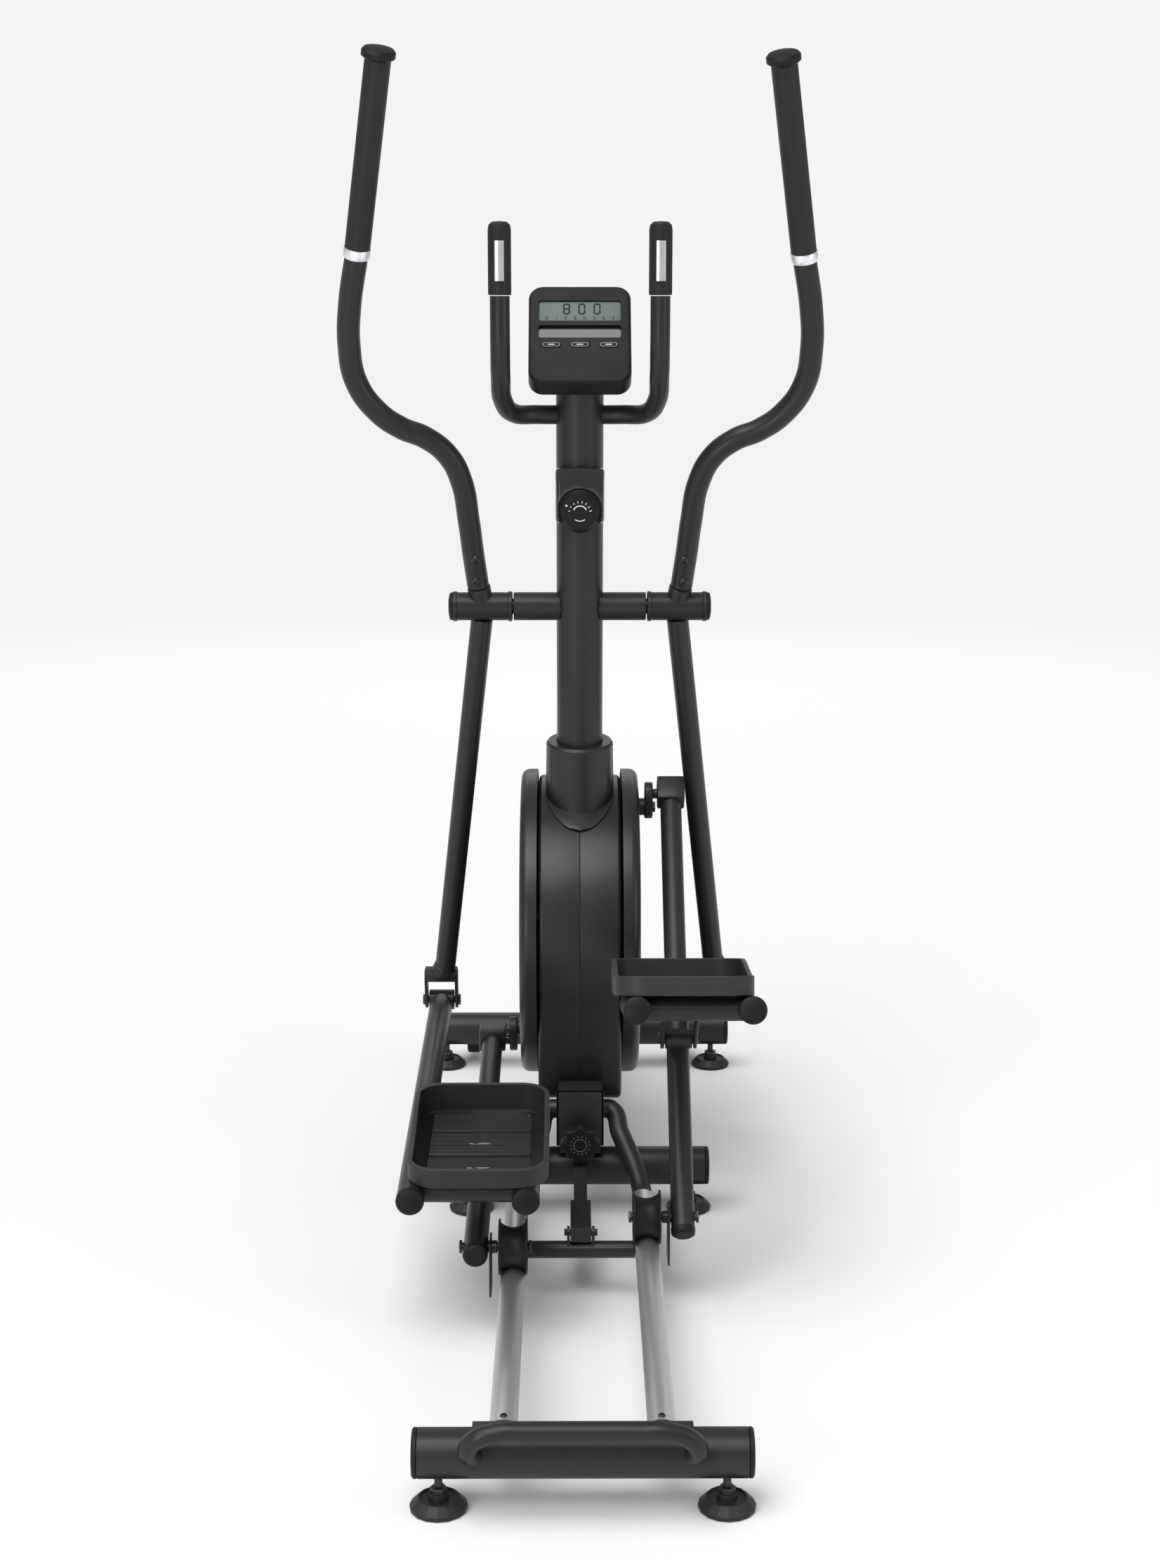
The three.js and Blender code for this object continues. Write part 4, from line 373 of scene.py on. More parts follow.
def plate(outline, depth, matrix=Matrix(), near=0.001, far=0.001, segments=3):
    part = bmesh.new()
    face = part.faces.new([part.verts.new((x, y, 0)) for x, y in outline])
    grown = bmesh.ops.extrude_face_region(part, geom=[face])["geom"]
    lifted = [item for item in grown if isinstance(item, bmesh.types.BMVert)]
    bmesh.ops.translate(part, verts=lifted, vec=(0, 0, depth))
    bmesh.ops.recalc_face_normals(part, faces=part.faces)
    for level, width in ((0, near), (depth, far)):
        rim = [e for e in part.edges if all(abs(v.co.z - level) < 1e-7 for v in e.verts)]
        bevel_edges(part, rim, width, segments)
    part.transform(matrix)
    return part


def block(low, high, ease=0.001, matrix=Matrix()):
    part = bmesh.new()
    bmesh.ops.create_cube(part, size=1)
    size = Vector(high) - Vector(low)
    part.transform(Matrix.Translation((Vector(low) + Vector(high)) / 2) @ Matrix.Diagonal((*size, 1)))
    bevel_edges(part, part.edges[:], ease, 2)
    part.transform(matrix)
    return part


tried = block((0, 0, 0), (0.02, 0.02, 0.02))
print("a bevelled block has", len(tried.faces), "faces")
tried.free()

# %% [markdown]
# ## Outlines
# Plates and moulded trays start as a flat outline of points. Three of them cover this machine: an arc,
# an obround for lugs and end plates, and a rectangle with round corners. An outline is drawn in X and
# Y, so two matrices turn it into the side view or into the view from the rear.

# %% Helpers for outlines
def arc(x, y, radius, start, end, steps=10):
    turns = [math.radians(start + (end - start) * step / steps) for step in range(steps + 1)]
    return [(x + radius * math.cos(turn), y + radius * math.sin(turn)) for turn in turns]


def obround(a, b, radius, steps=16):
    lean = math.degrees(math.atan2(b[1] - a[1], b[0] - a[0]))
    return arc(*b, radius, lean - 90, lean + 90, steps) + arc(*a, radius, lean + 90, lean + 270, steps)


def rounded(x0, x1, y0, y1, radius, steps=8, along=1):
    corners = [(x1 - radius, y0 + radius, -90), (x1 - radius, y1 - radius, 0),
               (x0 + radius, y1 - radius, 90), (x0 + radius, y0 + radius, 180)]
    outline = []
    for index, (x, y, turn) in enumerate(corners):
        outline += arc(x, y, radius, turn, turn + 90, steps)
        here = Vector(outline[-1])
        ahead = corners[(index + 1) % 4]
        there = Vector(arc(ahead[0], ahead[1], radius, ahead[2], ahead[2] + 90, 1)[0])
        outline += [tuple(here.lerp(there, step / along)) for step in range(1, along)]
    return outline


# Outlines drawn in the side view (Y, Z) are given their depth along X.
SIDE_VIEW = Matrix(((0, 0, 1, 0), (1, 0, 0, 0), (0, 1, 0, 0), (0, 0, 0, 1)))
# Outlines drawn across the rail (X, Z) are given their depth towards the rear.
REAR_VIEW = Matrix(((1, 0, 0, 0), (0, 0, -1, 0), (0, 1, 0, 0), (0, 0, 0, 1)))


def side_plate(outline, x0, x1, near=0.001, far=0.001, segments=3):
    low, high = sorted((x0, x1))
    return plate(outline, high - low, Matrix.Translation((low, 0, 0)) @ SIDE_VIEW, near, far, segments)


print("a rounded corner takes", len(arc(0, 0, 1, 0, 90)), "points")

# %% [markdown]
# ## Finished pieces
# A finished piece is one object with its place already in its mesh. Its faces are shaded smooth, and
# edges sharper than a chosen angle stay crisp. It then rides on a body and takes its finish, and the
# nodes of the frame that it stands for are hidden. Pockets are cut with an exact boolean.

# %% Helpers for finished pieces
def to_object(name, part):
    mesh = bpy.data.meshes.new(name)
    part.to_mesh(mesh)
    part.free()
    shown = bpy.data.objects.new(name, mesh)
    bpy.context.scene.collection.objects.link(shown)
    return shown


def carved(part, cutters):
    host = to_object("host", part)
    tools = [to_object("tool", cutter) for cutter in cutters]
    for tool in tools:
        step = host.modifiers.new("cut", "BOOLEAN")
        step.object = tool
        step.operation = "DIFFERENCE"
        step.solver = "EXACT"
    bpy.context.view_layer.update()
    mesh = bpy.data.meshes.new_from_object(host.evaluated_get(bpy.context.evaluated_depsgraph_get()))
    result = bmesh.new()
    result.from_mesh(mesh)
    for spent in [host, *tools]:
        bpy.data.objects.remove(spent)
    bpy.data.meshes.remove(mesh)
    return result


def piece(name, parts, body, look, stands_for=(), matrix=Matrix(), crease=32):
    whole = bmesh.new()
    for part in parts:
        carrier = bpy.data.meshes.new("part")
        part.to_mesh(carrier)
        part.free()
        whole.from_mesh(carrier)
        bpy.data.meshes.remove(carrier)
    whole.transform(matrix)
    shown = to_object(name, whole)
    shown.data.shade_smooth()
    shown.data.set_sharp_from_angle(angle=math.radians(crease))
    material, slot = LOOKS[look]
    shown.data.materials.append(material)
    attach(shown, body)
    if stands_for:
        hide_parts(*stands_for)
    return shown


# %% [markdown]
# ## Stabiliser tubes
# Three round steel tubes lie across the machine. Each is a turned rod, closed at both ends by a plastic
# cap with a slightly domed face. The front one also carries two lugs a side for its wheels, cut from
# plate, because the real ones are flat strips with a round end.

# %% Stabiliser tubes
low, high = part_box("rear_stabiliser")
STABILISER = (high.z - low.z) / 2
AXIS_Z = (high.z + low.z) / 2
ROWS = {row: joint_at(f"{row}_right_foot_turn") for row in ("rear", "mid", "front")}
CAP = 0.007

for row, at in ROWS.items():
    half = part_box(f"{row}_stabiliser")[1].x
    tube = [rod(STABILISER, (-half + CAP, at.y, AXIS_Z), (half - CAP, at.y, AXIS_Z), steps=72)]
    if row == "front":
        for side in SIDES.values():
            wheel = joint_at("right_transport_spin")
            for offset in (-0.018, 0.014):
                x = side * wheel.x + offset
                arm = obround((wheel.y, wheel.z), (at.y, AXIS_Z - 0.01), 0.011)
                tube.append(side_plate(arm, x, x + 0.004))
            pin = [(side * wheel.x + end, wheel.y, wheel.z) for end in (-0.016, 0.016)]
            tube.append(rod(0.005, *pin))
    piece(f"{row}_tube", tube, "root", "paint", [f"{row}_stabiliser"])
    caps = []
    for side in SIDES.values():
        profile = [(0, 0), (STABILISER * 0.6, 0.0003), (STABILISER - 0.002, 0.001), (STABILISER, 0.003),
                   (STABILISER, CAP - 0.0006), (STABILISER - 0.001, CAP - 0.0001), (0, CAP - 0.0001)]
        caps.append(turned(profile, (side * half, at.y, AXIS_Z), (0, at.y, AXIS_Z), 72))
    piece(f"{row}_end_caps", caps, "root", "plastic")
print("stabilisers at", [round(at.y, 3) for at in ROWS.values()])

# %% [markdown]
# ## Levelling feet
# Each foot is a rubber cone on a threaded stem with a lock nut, and it screws in or out to level the
# machine. Turning one outline gives the cone with its shallow dish. It is spun in only sixteen steps,
# so that flats show round its rim.

# %% Levelling feet
for row, at in ROWS.items():
    for name, side in SIDES.items():
        x = side * at.x
        radius = (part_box(f"{row}_foot_{name}")[1].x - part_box(f"{row}_foot_{name}")[0].x) / 2
        cup = [(0, 0), (radius - 0.0015, 0), (radius, 0.0015), (radius, 0.006),
               (radius - 0.0095, 0.0155), (radius - 0.0115, 0.0158), (radius - 0.0135, 0.0138),
               (0.0125, 0.0132), (0.0108, 0.0215), (0, 0.022)]
        pad = turned(cup, (x, at.y, 0), (x, at.y, 1), 16)
        piece(f"{row}_pad_{name}", [pad], f"{row}_{name}_foot", "rubber", [f"{row}_foot_{name}"], crease=12)
        nut = hexagon(0.0105, (x, at.y, 0.0215), (x, at.y, 0.0285))
        stem = rod(0.005, (x, at.y, 0.022), (x, at.y, AXIS_Z - STABILISER - 0.0003))
        piece(f"{row}_stem_{name}", [nut, stem], f"{row}_{name}_foot", "dark_steel")
print("feet:", len(ROWS) * len(SIDES))

# %% [markdown]
# ## Transport wheels
# Two small wheels on the front stabiliser roll when the machine is tipped forward. A closed outline
# that stays clear of the axis makes a tyre with its bore in one spin, and the pin passes through it.

# %% Transport wheels
for name, side in SIDES.items():
    at = joint_at(f"{name}_transport_spin")
    bore, radius, half = 0.0056, 0.028, 0.012
    tread = [(bore, 0), (0.012, 0), (0.013, 0.002), (0.021, 0.002), (0.022, 0), (radius - 0.003, 0),
             (radius, 0.003), (radius, 2 * half - 0.003), (radius - 0.003, 2 * half), (0.022, 2 * half),
             (0.021, 2 * half - 0.002), (0.013, 2 * half - 0.002), (0.012, 2 * half), (bore, 2 * half)]
    start = at - Vector((half, 0, 0))
    wheel = turned(tread, start, start + Vector((1, 0, 0)), 64, closed=True)
    piece(f"{name}_transport_tyre", [wheel], f"{name}_transport", "rubber", [f"transport_wheel_{name}"])
print("wheel radius", round(radius, 3))

# %% [markdown]
# ## Lift handle
# A bent tube behind the rear stabiliser is for lifting the machine. A curve with a round section bends
# as real tube does, so it is laid through a few points and then made a mesh. The points of one side
# are mirrored to give the other.

# %% Lift handle
rear_y = ROWS["rear"].y
reach, rise, grip = 0.050, 0.052, 0.012
bend = [(0.130, -0.026, 0.010), (0.136, -0.040, 0.022), (0.128, -0.048, 0.040),
        (0.102, -reach, rise - 0.001), (0.067, -reach, rise)]
route = [(-x, rear_y + y, AXIS_Z + z) for x, y, z in bend]
route += [(0, rear_y - reach, AXIS_Z + rise)]
route += [(x, rear_y + y, AXIS_Z + z) for x, y, z in reversed(bend)]
piece("lift_tube", [bent(route, grip)], "root", "paint", ["lift_handle"])
print("lift handle reaches", round(reach, 3), "behind the tube's axis")

# %% [markdown]
# ## Rails
# Two rail tubes run forward from a flat plate. Each carries a bright convex strip that the roller
# rides on, and bows up at its front end into the bracket with the lock knob. The strip's outline is an
# arc found from its chord and crown, so that the roller's groove can be given the same arc.

# %% Rails and their covers
SLOPE = -0.0204
cover_low, cover_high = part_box("rail_cover_right")
RAIL_X = joint_at("right_roller_spin").x
START, END = cover_low.y, cover_high.y
CHORD, CROWN, LIP = 0.034, 0.007, 0.0012
RAIL_DEPTH, RAIL_WIDTH = 0.026, 0.032


def crown_at(y):
    return cover_high.z + SLOPE * (y - START)


def along_rail(outline, x, near=0.0, far=0.0):
    tilt = Matrix.Rotation(math.atan(SLOPE), 4, "X")
    matrix = Matrix.Translation((x, END, crown_at(END))) @ tilt @ REAR_VIEW
    return plate(outline, (END - START) * math.hypot(1, SLOPE), matrix, near, far)


crown_radius = ((CHORD / 2) ** 2 + CROWN ** 2) / (2 * CROWN)
spread = math.degrees(math.asin(CHORD / 2 / crown_radius))
cover = [(-CHORD / 2, -CROWN - LIP), (CHORD / 2, -CROWN - LIP)]
cover += arc(0, -crown_radius, crown_radius, 90 - spread, 90 + spread, 24)
tube_top = -CROWN - LIP - 0.0003
tube = rounded(-RAIL_WIDTH / 2, RAIL_WIDTH / 2, tube_top - RAIL_DEPTH, tube_top, 0.005)
bracket_low, bracket_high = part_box("lock_bracket")
bow_y = bracket_high.y - 0.017
for name, side in SIDES.items():
    x = side * RAIL_X
    z = crown_at(END) + tube_top - RAIL_DEPTH / 2 - 0.003
    run = bow_y - END
    bow = [(x, END - 0.006, z)]
    for share, out, lift in ((0.19, 0.001, 0.002), (0.48, -0.010, 0.032), (0.77, -0.032, 0.072)):
        bow.append((side * (RAIL_X + out), END + share * run, z + lift))
    bow += [(side * (bracket_high.x + 0.012), bow_y, bracket_high.z - 0.042),
            (side * (bracket_high.x - 0.002), bow_y, bracket_high.z - 0.040)]
    piece(f"{name}_rail_tube", [along_rail(tube, x, 0.002, 0.001), bent(bow, 0.015)], "root", "paint",
          [f"rail_{name}"])
    piece(f"{name}_rail_strip", [along_rail(cover, x)], "root", "bright", [f"rail_cover_{name}"], crease=40)
    at = (x, START + 0.009, crown_at(START + 0.009) - 0.0003)
    piece(f"{name}_rail_screw", [screw(at, (0, 0, 1), 0.0045)], "root", "dark_steel")
print("rails from", round(START, 3), "to", round(END, 3))

# %% [markdown]
# ## Lock bracket
# The rails' bowed ends meet in a folded steel bracket. Four thin blocks stand for its four walls,
# which leaves the middle open for the shank of the knob.

# %% Lock bracket
wall = 0.004
low, high = bracket_low, bracket_high
walls = [
    block(low, (high.x, low.y + wall, high.z)),
    block((low.x, low.y, high.z - wall), high),
    block(low, (low.x + wall, high.y, high.z)),
    block((high.x - wall, low.y, low.z), high),
]
piece("lock_yoke", walls, "root", "paint", ["lock_bracket"])
print("bracket", [round(value, 3) for value in high - low])

# %% [markdown]
# ## Lock knob
# The rail unit can be unlocked and lifted. A spring knob holds it: pulled back, its pin leaves the
# bracket. The knob is a lobed disc, drawn as a circle whose radius rises and falls eight times. Its
# face has a thin ring and short ticks, and the shank behind it is plain steel.

# %% Lock knob
knob_low, knob_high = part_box("lock_knob")
KNOB_Z = (knob_low.z + knob_high.z) / 2
knob_radius, lobes, lobe_depth = (knob_high.x - knob_low.x) / 2, 8, 0.0024
lobed = []
for step in range(lobes * 12):
    turn = math.tau * step / (lobes * 12)
    radius = knob_radius - lobe_depth * (1 - math.cos(lobes * turn))
    lobed.append((radius * math.cos(turn), radius * math.sin(turn)))
knob_front = knob_low.y
knob_depth = 0.024
at = Matrix.Translation((0, knob_front + knob_depth, KNOB_Z)) @ REAR_VIEW
head = plate(lobed, knob_depth, at, 0.002, 0.004, 4)
ring_in, ring_out, ticks = 0.0095, 0.0102, 14
ring = [(ring_in, -0.0003), (ring_out, -0.0003), (ring_out, 0.0004), (ring_in, 0.0004)]
rings = [turned(ring, (0, knob_front, KNOB_Z), (0, knob_front - 1, KNOB_Z), 64, closed=True)]
piece("lock_knob_head", [head], "lock", "plastic", ["lock_knob"])
face_frame = Matrix.Translation((0, knob_front, KNOB_Z)) @ REAR_VIEW
for step in range(ticks):
    spin = face_frame @ Matrix.Rotation(math.tau * step / ticks, 4, "Z")
    rings.append(block((0.0135, -0.0006, -0.0004), (0.0158, 0.0006, 0.0004), 0.0, spin))
piece("lock_knob_marks", rings, "lock", "dim_mark")
shank = [(0, y, KNOB_Z) for y in (knob_front + knob_depth - 0.002, knob_high.y)]
piece("lock_knob_shank", [rod(0.006, *shank)], "lock", "steel")
print("knob radius", round(knob_radius, 3), "with", lobes, "lobes")

# %% [markdown]
# ## Mast and its pivot tube
# The mast leans back a little. Its direction is square to the tension knob's axis, so it is read from
# that joint. A cross tube is welded through it, with a bead at each side, and the swing arms turn on
# the spindle in that tube. All of these are turned, because every section is round.

# %% Mast
PIVOT = joint_at("right_stride")
axis = joints["tension_turn"]["axis"]
UP_MAST = Vector((0, axis[2], -axis[1]))
PIVOT_TUBE, TUBE_HALF = 0.022, 0.103


def mast_at(z):
    return Vector((0, PIVOT.y, PIVOT.z)) + UP_MAST * ((z - PIVOT.z) / UP_MAST.z)


def bead(radius, at, towards, thick=0.0025):
    ring = [(radius - thick, -thick), (radius + thick, -thick * 0.4), (radius + thick, thick * 0.4),
            (radius - thick, thick)]
    return turned(ring, at, towards, 64, closed=True)


MAST, SPINDLE = 0.036, 0.012
spindle_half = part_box("mast")[1].x
post = [rod(MAST, mast_at(0.46), mast_at(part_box("mast")[1].z - 0.004), steps=96)]
post.append(rod(PIVOT_TUBE, (-TUBE_HALF, PIVOT.y, PIVOT.z), (TUBE_HALF, PIVOT.y, PIVOT.z), steps=72))
for side in SIDES.values():
    post.append(bead(PIVOT_TUBE, (side * (MAST - 0.004), PIVOT.y, PIVOT.z), (side, PIVOT.y, PIVOT.z)))
piece("mast_post", post, "root", "paint", ["mast"])
# The spindle is dark steel. Where it shows in the narrow gaps beside the pivot tube and sleeves, its dark colour
# is also painted shade for those gaps.
spindle_ends = [(end * (spindle_half - 0.002), PIVOT.y, PIVOT.z) for end in (-1, 1)]
piece("pivot_spindle", [rod(SPINDLE, *spindle_ends)], "root", "dark_steel")
caps = []
for side in SIDES.values():
    dome = [(0, 0), (0.012, 0.0002), (0.020, 0.0018), (PIVOT_TUBE, 0.0045), (PIVOT_TUBE, 0.0065), (0, 0.0065)]
    caps.append(turned(dome, (side * spindle_half, PIVOT.y, PIVOT.z), (0, PIVOT.y, PIVOT.z), 64))
piece("pivot_caps", caps, "root", "plastic")
print("mast leans", round(math.degrees(math.atan2(-UP_MAST.y, UP_MAST.z)), 2), "degrees")

# %% [markdown]
# ## Shroud
# The shroud is two moulded shells that meet on the centre line. The outline is one big arc with a
# narrower foot. The outer rim is rounded generously, the meeting edge only eased, which leaves the
# fine seam.

# %% Shroud halves
CRANK = joint_at("crank_spin")
shroud_low, shroud_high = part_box("shroud_right")
DRUM = (shroud_high.z - CRANK.z)
foot, corner, tangent = 0.205, 0.026, 20
outline = arc(CRANK.y + foot - corner, shroud_low.z + corner, corner, -90, 0, 8)
outline += arc(CRANK.y, CRANK.z, DRUM, -tangent, 180 + tangent, 120)
outline += arc(CRANK.y - foot + corner, shroud_low.z + corner, corner, 180, 270, 8)
for name, side in SIDES.items():
    inner, outer = side * 0.00015, side * shroud_high.x
    rims = (0.0008, 0.007) if side > 0 else (0.007, 0.0008)
    shell = side_plate(outline, inner, outer, *rims, segments=6)
    piece(f"shroud_shell_{name}", [shell], "root", "shroud", [f"shroud_{name}"])
print("shroud radius", round(DRUM, 3))

# %% [markdown]
# ## Collar
# A moulded collar closes the gap where the mast enters the shroud, and a tongue runs from it down over
# the crown. The collar is turned about the mast's own axis. The tongue starts as a flat grid. Its
# points are wrapped round the crank's axis, narrowing towards the tip, and it is then given thickness.

# %% Collar with its tongue
COLLAR_FOOT = 0.056
collar_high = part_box("mast_collar")[1].z
foot_z = CRANK.z + DRUM * 0.6
skirt_length = (mast_at(collar_high) - mast_at(foot_z)).length
skirt = [(0.037, skirt_length), (0.050, skirt_length), (0.053, skirt_length - 0.004),
         (COLLAR_FOOT, 0.0), (0.037, 0.0)]
collar = [turned(skirt, mast_at(foot_z), mast_at(collar_high), 96, closed=True)]
tongue = bmesh.new()
bmesh.ops.create_grid(tongue, x_segments=12, y_segments=28, size=1)
for vertex in tongue.verts:
    across, down = vertex.co.x, (1 - vertex.co.y) / 2
    narrowing = max(0.0, (down - 0.28) / 0.72)
    half = COLLAR_FOOT * math.sqrt(max(0.0, 1 - narrowing ** 1.6))
    turn = math.radians(98 + 32 * down)
    crown = DRUM + 0.0055 - 0.0022 * across ** 2
    vertex.co = (half * across, CRANK.y + crown * math.cos(turn), CRANK.z + crown * math.sin(turn))
bmesh.ops.remove_doubles(tongue, verts=tongue.verts, dist=1e-5)
bmesh.ops.recalc_face_normals(tongue, faces=tongue.faces)
bmesh.ops.solidify(tongue, geom=tongue.faces[:], thickness=0.004)
bmesh.ops.recalc_face_normals(tongue, faces=tongue.faces)
collar.append(tongue)
piece("mast_shoe", collar, "root", "shroud", ["mast_collar"])
print("collar skirt", round(skirt_length, 3), "long")

# %% [markdown]
# ## Crank discs
# A big moulded disc on each side hides the crank and turns with it. Its outline from the hub to the
# rim is spun once round the crank's axis: a raised hub, a fine bead near the edge, a rounded rim and a
# thin wall turned inwards. Four screws stand round the hub.

# %% Crank discs
disc_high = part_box("crank_disc_right")[1]
DISC = disc_high.z - CRANK.z
DISC_OUT, DISC_IN = disc_high.x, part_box("crank_disc_right")[0].x
DISC_ROUND = 0.014
depth = DISC_OUT - DISC_IN
for name, side in SIDES.items():
    face = Vector((side * DISC_OUT, CRANK.y, CRANK.z))
    inward = Vector((0, CRANK.y, CRANK.z))
    profile = [(0, -0.004), (0.018, -0.004), (0.022, -0.001), (0.024, 0.0004), (0.030, 0.0012),
               (0.058, 0.0012), (0.060, 0.0), (DISC - 0.034, 0.0), (DISC - 0.032, 0.0016),
               (DISC - 0.028, 0.0016), (DISC - 0.026, 0.0)]
    profile += [(DISC - DISC_ROUND + r, DISC_ROUND + z) for r, z in arc(0, 0, DISC_ROUND, -90, 0, 8)]
    profile += [(DISC, depth), (DISC - 0.003, depth), (DISC - 0.003, 0.012), (DISC - 0.012, 0.003),
                (0, 0.003)]
    disc = turned(profile, face, inward, 160)
    hub = [screw((side * (DISC_OUT - 0.0012), CRANK.y + y, CRANK.z + z), (side, 0, 0), 0.004)
           for y, z in arc(0, 0, 0.044, 90, 450, 4)[:4]]
    piece(f"crank_cover_{name}", [disc], "crank", "shroud", [f"crank_disc_{name}"])
    piece(f"crank_cover_screws_{name}", hub, "crank", "steel")
print("disc radius", round(DISC, 3))

# %% [markdown]
# ## The linkage's own frames
# Each swing arm, link and pedal arm was designed straight, in a frame of its own, and stands turned in
# the machine. Its angle follows from two joints: where the piece starts and where it meets the next.

# %% Frames of the linkage
LINK_TO_PIVOT, LINK_DROP = 0.4924, 0.0537
ARM_ALONG, ARM_ABOVE, ARM_LENGTH = 0.274, 0.027, 0.7316
SWING_LENGTH = (joint_at("right_link_pivot").yz - PIVOT.yz).length


def turned_frame(origin, angle):
    return Matrix.Translation((0, origin.y, origin.z)) @ Matrix.Rotation(angle, 4, "X")


def linkage(name):
    clevis = joint_at(f"{name}_link_pivot")
    pivot = joint_at(f"{name}_arm_pivot")
    roller = joint_at(f"{name}_roller_spin")
    swing = math.atan2(clevis.y - PIVOT.y, PIVOT.z - clevis.z)
    link = math.atan2(clevis.z - pivot.z, clevis.y - pivot.y) - math.asin(LINK_DROP / LINK_TO_PIVOT)
    arm = math.atan2(pivot.z - roller.z, pivot.y - roller.y) - math.atan2(ARM_ABOVE, ARM_ALONG)
    frames = {"swing": turned_frame(PIVOT, swing), "link": turned_frame(clevis, link),
              "arm": turned_frame(roller, arm)}
    return frames, arm


FRAMES, PITCH = {}, {}
for name in SIDES:
    FRAMES[name], PITCH[name] = linkage(name)
    print(name, "arm pitch", round(math.degrees(PITCH[name]), 2))

# %% [markdown]
# ## Cranks
# The crank itself hides behind its disc. What shows is a short boss through the disc, and an end plate
# that carries the pin further out. Each flat part is an obround drawn in the side view.

# %% Crank arms
PLATE_IN = 0.105
THROW = 0.228
CRANK_PLATE = 0.013
NUT = 0.009
for name, side in SIDES.items():
    pin = FRAMES[name]["arm"] @ Vector((0, ARM_LENGTH, 0))
    throw = (Vector((pin.y, pin.z)) - CRANK.yz)
    boss = CRANK.yz + throw.normalized() * (THROW - 0.023)
    web = side_plate(obround(tuple(CRANK.yz), tuple(boss), 0.020), side * 0.070, side * 0.086)
    stub = rod(0.014, (side * 0.071, *boss), (side * (PLATE_IN + 0.002), *boss))
    end = side_plate(obround(tuple(boss), (pin.y, pin.z), 0.019), side * PLATE_IN,
                     side * (PLATE_IN + CRANK_PLATE), 0.002, 0.002)
    piece(f"crank_{name}", [web, stub, end], "crank", "paint", [f"crank_arm_{name}"])
    outer = side * (PLATE_IN + 0.0125)
    nut = hexagon(NUT, (outer, *boss), (outer + side * 0.005, *boss))
    piece(f"crank_nut_{name}", [nut], "crank", "dark_steel")
print("crank boss", round(THROW - 0.023, 3), "from the axle")

# %% [markdown]
# ## Swing arms
# Each arm hangs from a sleeve on the spindle, splays outwards and ends in a fork that takes the link's
# eye on a bolt. The arm is designed hanging straight down, then turned by its frame. Round parts are
# rods, and the fork's cheeks are obrounds cut from plate.

# %% Swing arms
SLEEVE_X = PIVOT.x
LINK_X = joint_at("right_link_pivot").x
SWING_TUBE, BOLT = 0.017, 0.006
HANDLE_BACK = math.radians(5)


def handle_point(side, x, up):
    return Vector((side * x, -up * math.sin(HANDLE_BACK), up * math.cos(HANDLE_BACK)))


for name, side in SIDES.items():
    body, place = f"{name}_swing", FRAMES[name]["swing"]
    inner, outer = side * 0.105, side * 0.198
    ring_drop = SWING_LENGTH - 0.057
    splay = (LINK_X - SLEEVE_X) / SWING_LENGTH
    ring_x = side * (SLEEVE_X + splay * ring_drop)
    fork_x = side * LINK_X
    sleeve = turned([(0.0126, 0), (PIVOT_TUBE, 0), (PIVOT_TUBE + 0.0015, 0.001), (PIVOT_TUBE + 0.0015, 0.006),
                     (PIVOT_TUBE, 0.007), (PIVOT_TUBE, 0.086), (PIVOT_TUBE + 0.0015, 0.087),
                     (PIVOT_TUBE + 0.0015, 0.092), (PIVOT_TUBE, 0.093), (0.0126, 0.093)],
                    (inner, 0, 0), (outer, 0, 0), 72, closed=True)
    tube = rod(SWING_TUBE, (side * SLEEVE_X, 0, -0.020), (ring_x, 0, -ring_drop))
    ring = rod(0.019, (ring_x - side * splay * 0.01, 0, -ring_drop + 0.010), (fork_x, 0, -ring_drop - 0.006))
    fork_half = 0.028
    bridge = block((fork_x - fork_half, -0.014, -SWING_LENGTH + 0.042),
                   (fork_x + fork_half, 0.014, -ring_drop + 0.002), 0.003)
    parts = [sleeve, tube, ring, bridge]
    for x in (fork_x - fork_half, fork_x + fork_half - 0.005):
        cheek = obround((0, -SWING_LENGTH), (0, -ring_drop - 0.012), 0.014)
        parts.append(side_plate(cheek, x, x + 0.005))
    stub = rod(0.018, handle_point(side, SLEEVE_X, 0.012), handle_point(side, SLEEVE_X + 0.004, 0.0337))
    parts.append(stub)
    piece(f"swing_tube_{name}", parts, body, "paint", [f"swing_arm_{name}"], place)
    bolt = [rod(BOLT, (fork_x - fork_half, 0, -SWING_LENGTH), (fork_x + fork_half, 0, -SWING_LENGTH))]
    for end in (-1, 1):
        x = fork_x + end * fork_half
        bolt.append(hexagon(NUT, (x, 0, -SWING_LENGTH), (x + end * 0.004, 0, -SWING_LENGTH)))
    piece(f"swing_bolt_{name}", bolt, body, "dark_steel", (), place)
print("swing arms splay", round(math.degrees(math.atan(splay)), 2), "degrees")

# %% [markdown]
# ## Handles
# Above each sleeve a long bent tube curves out, forward and in again to a foam grip with a bright ring
# below it and a flared cap on top. The bend is a curve through twelve points, each given as a distance
# out from the centre line and a height up the handle. Two screws hold its foot.

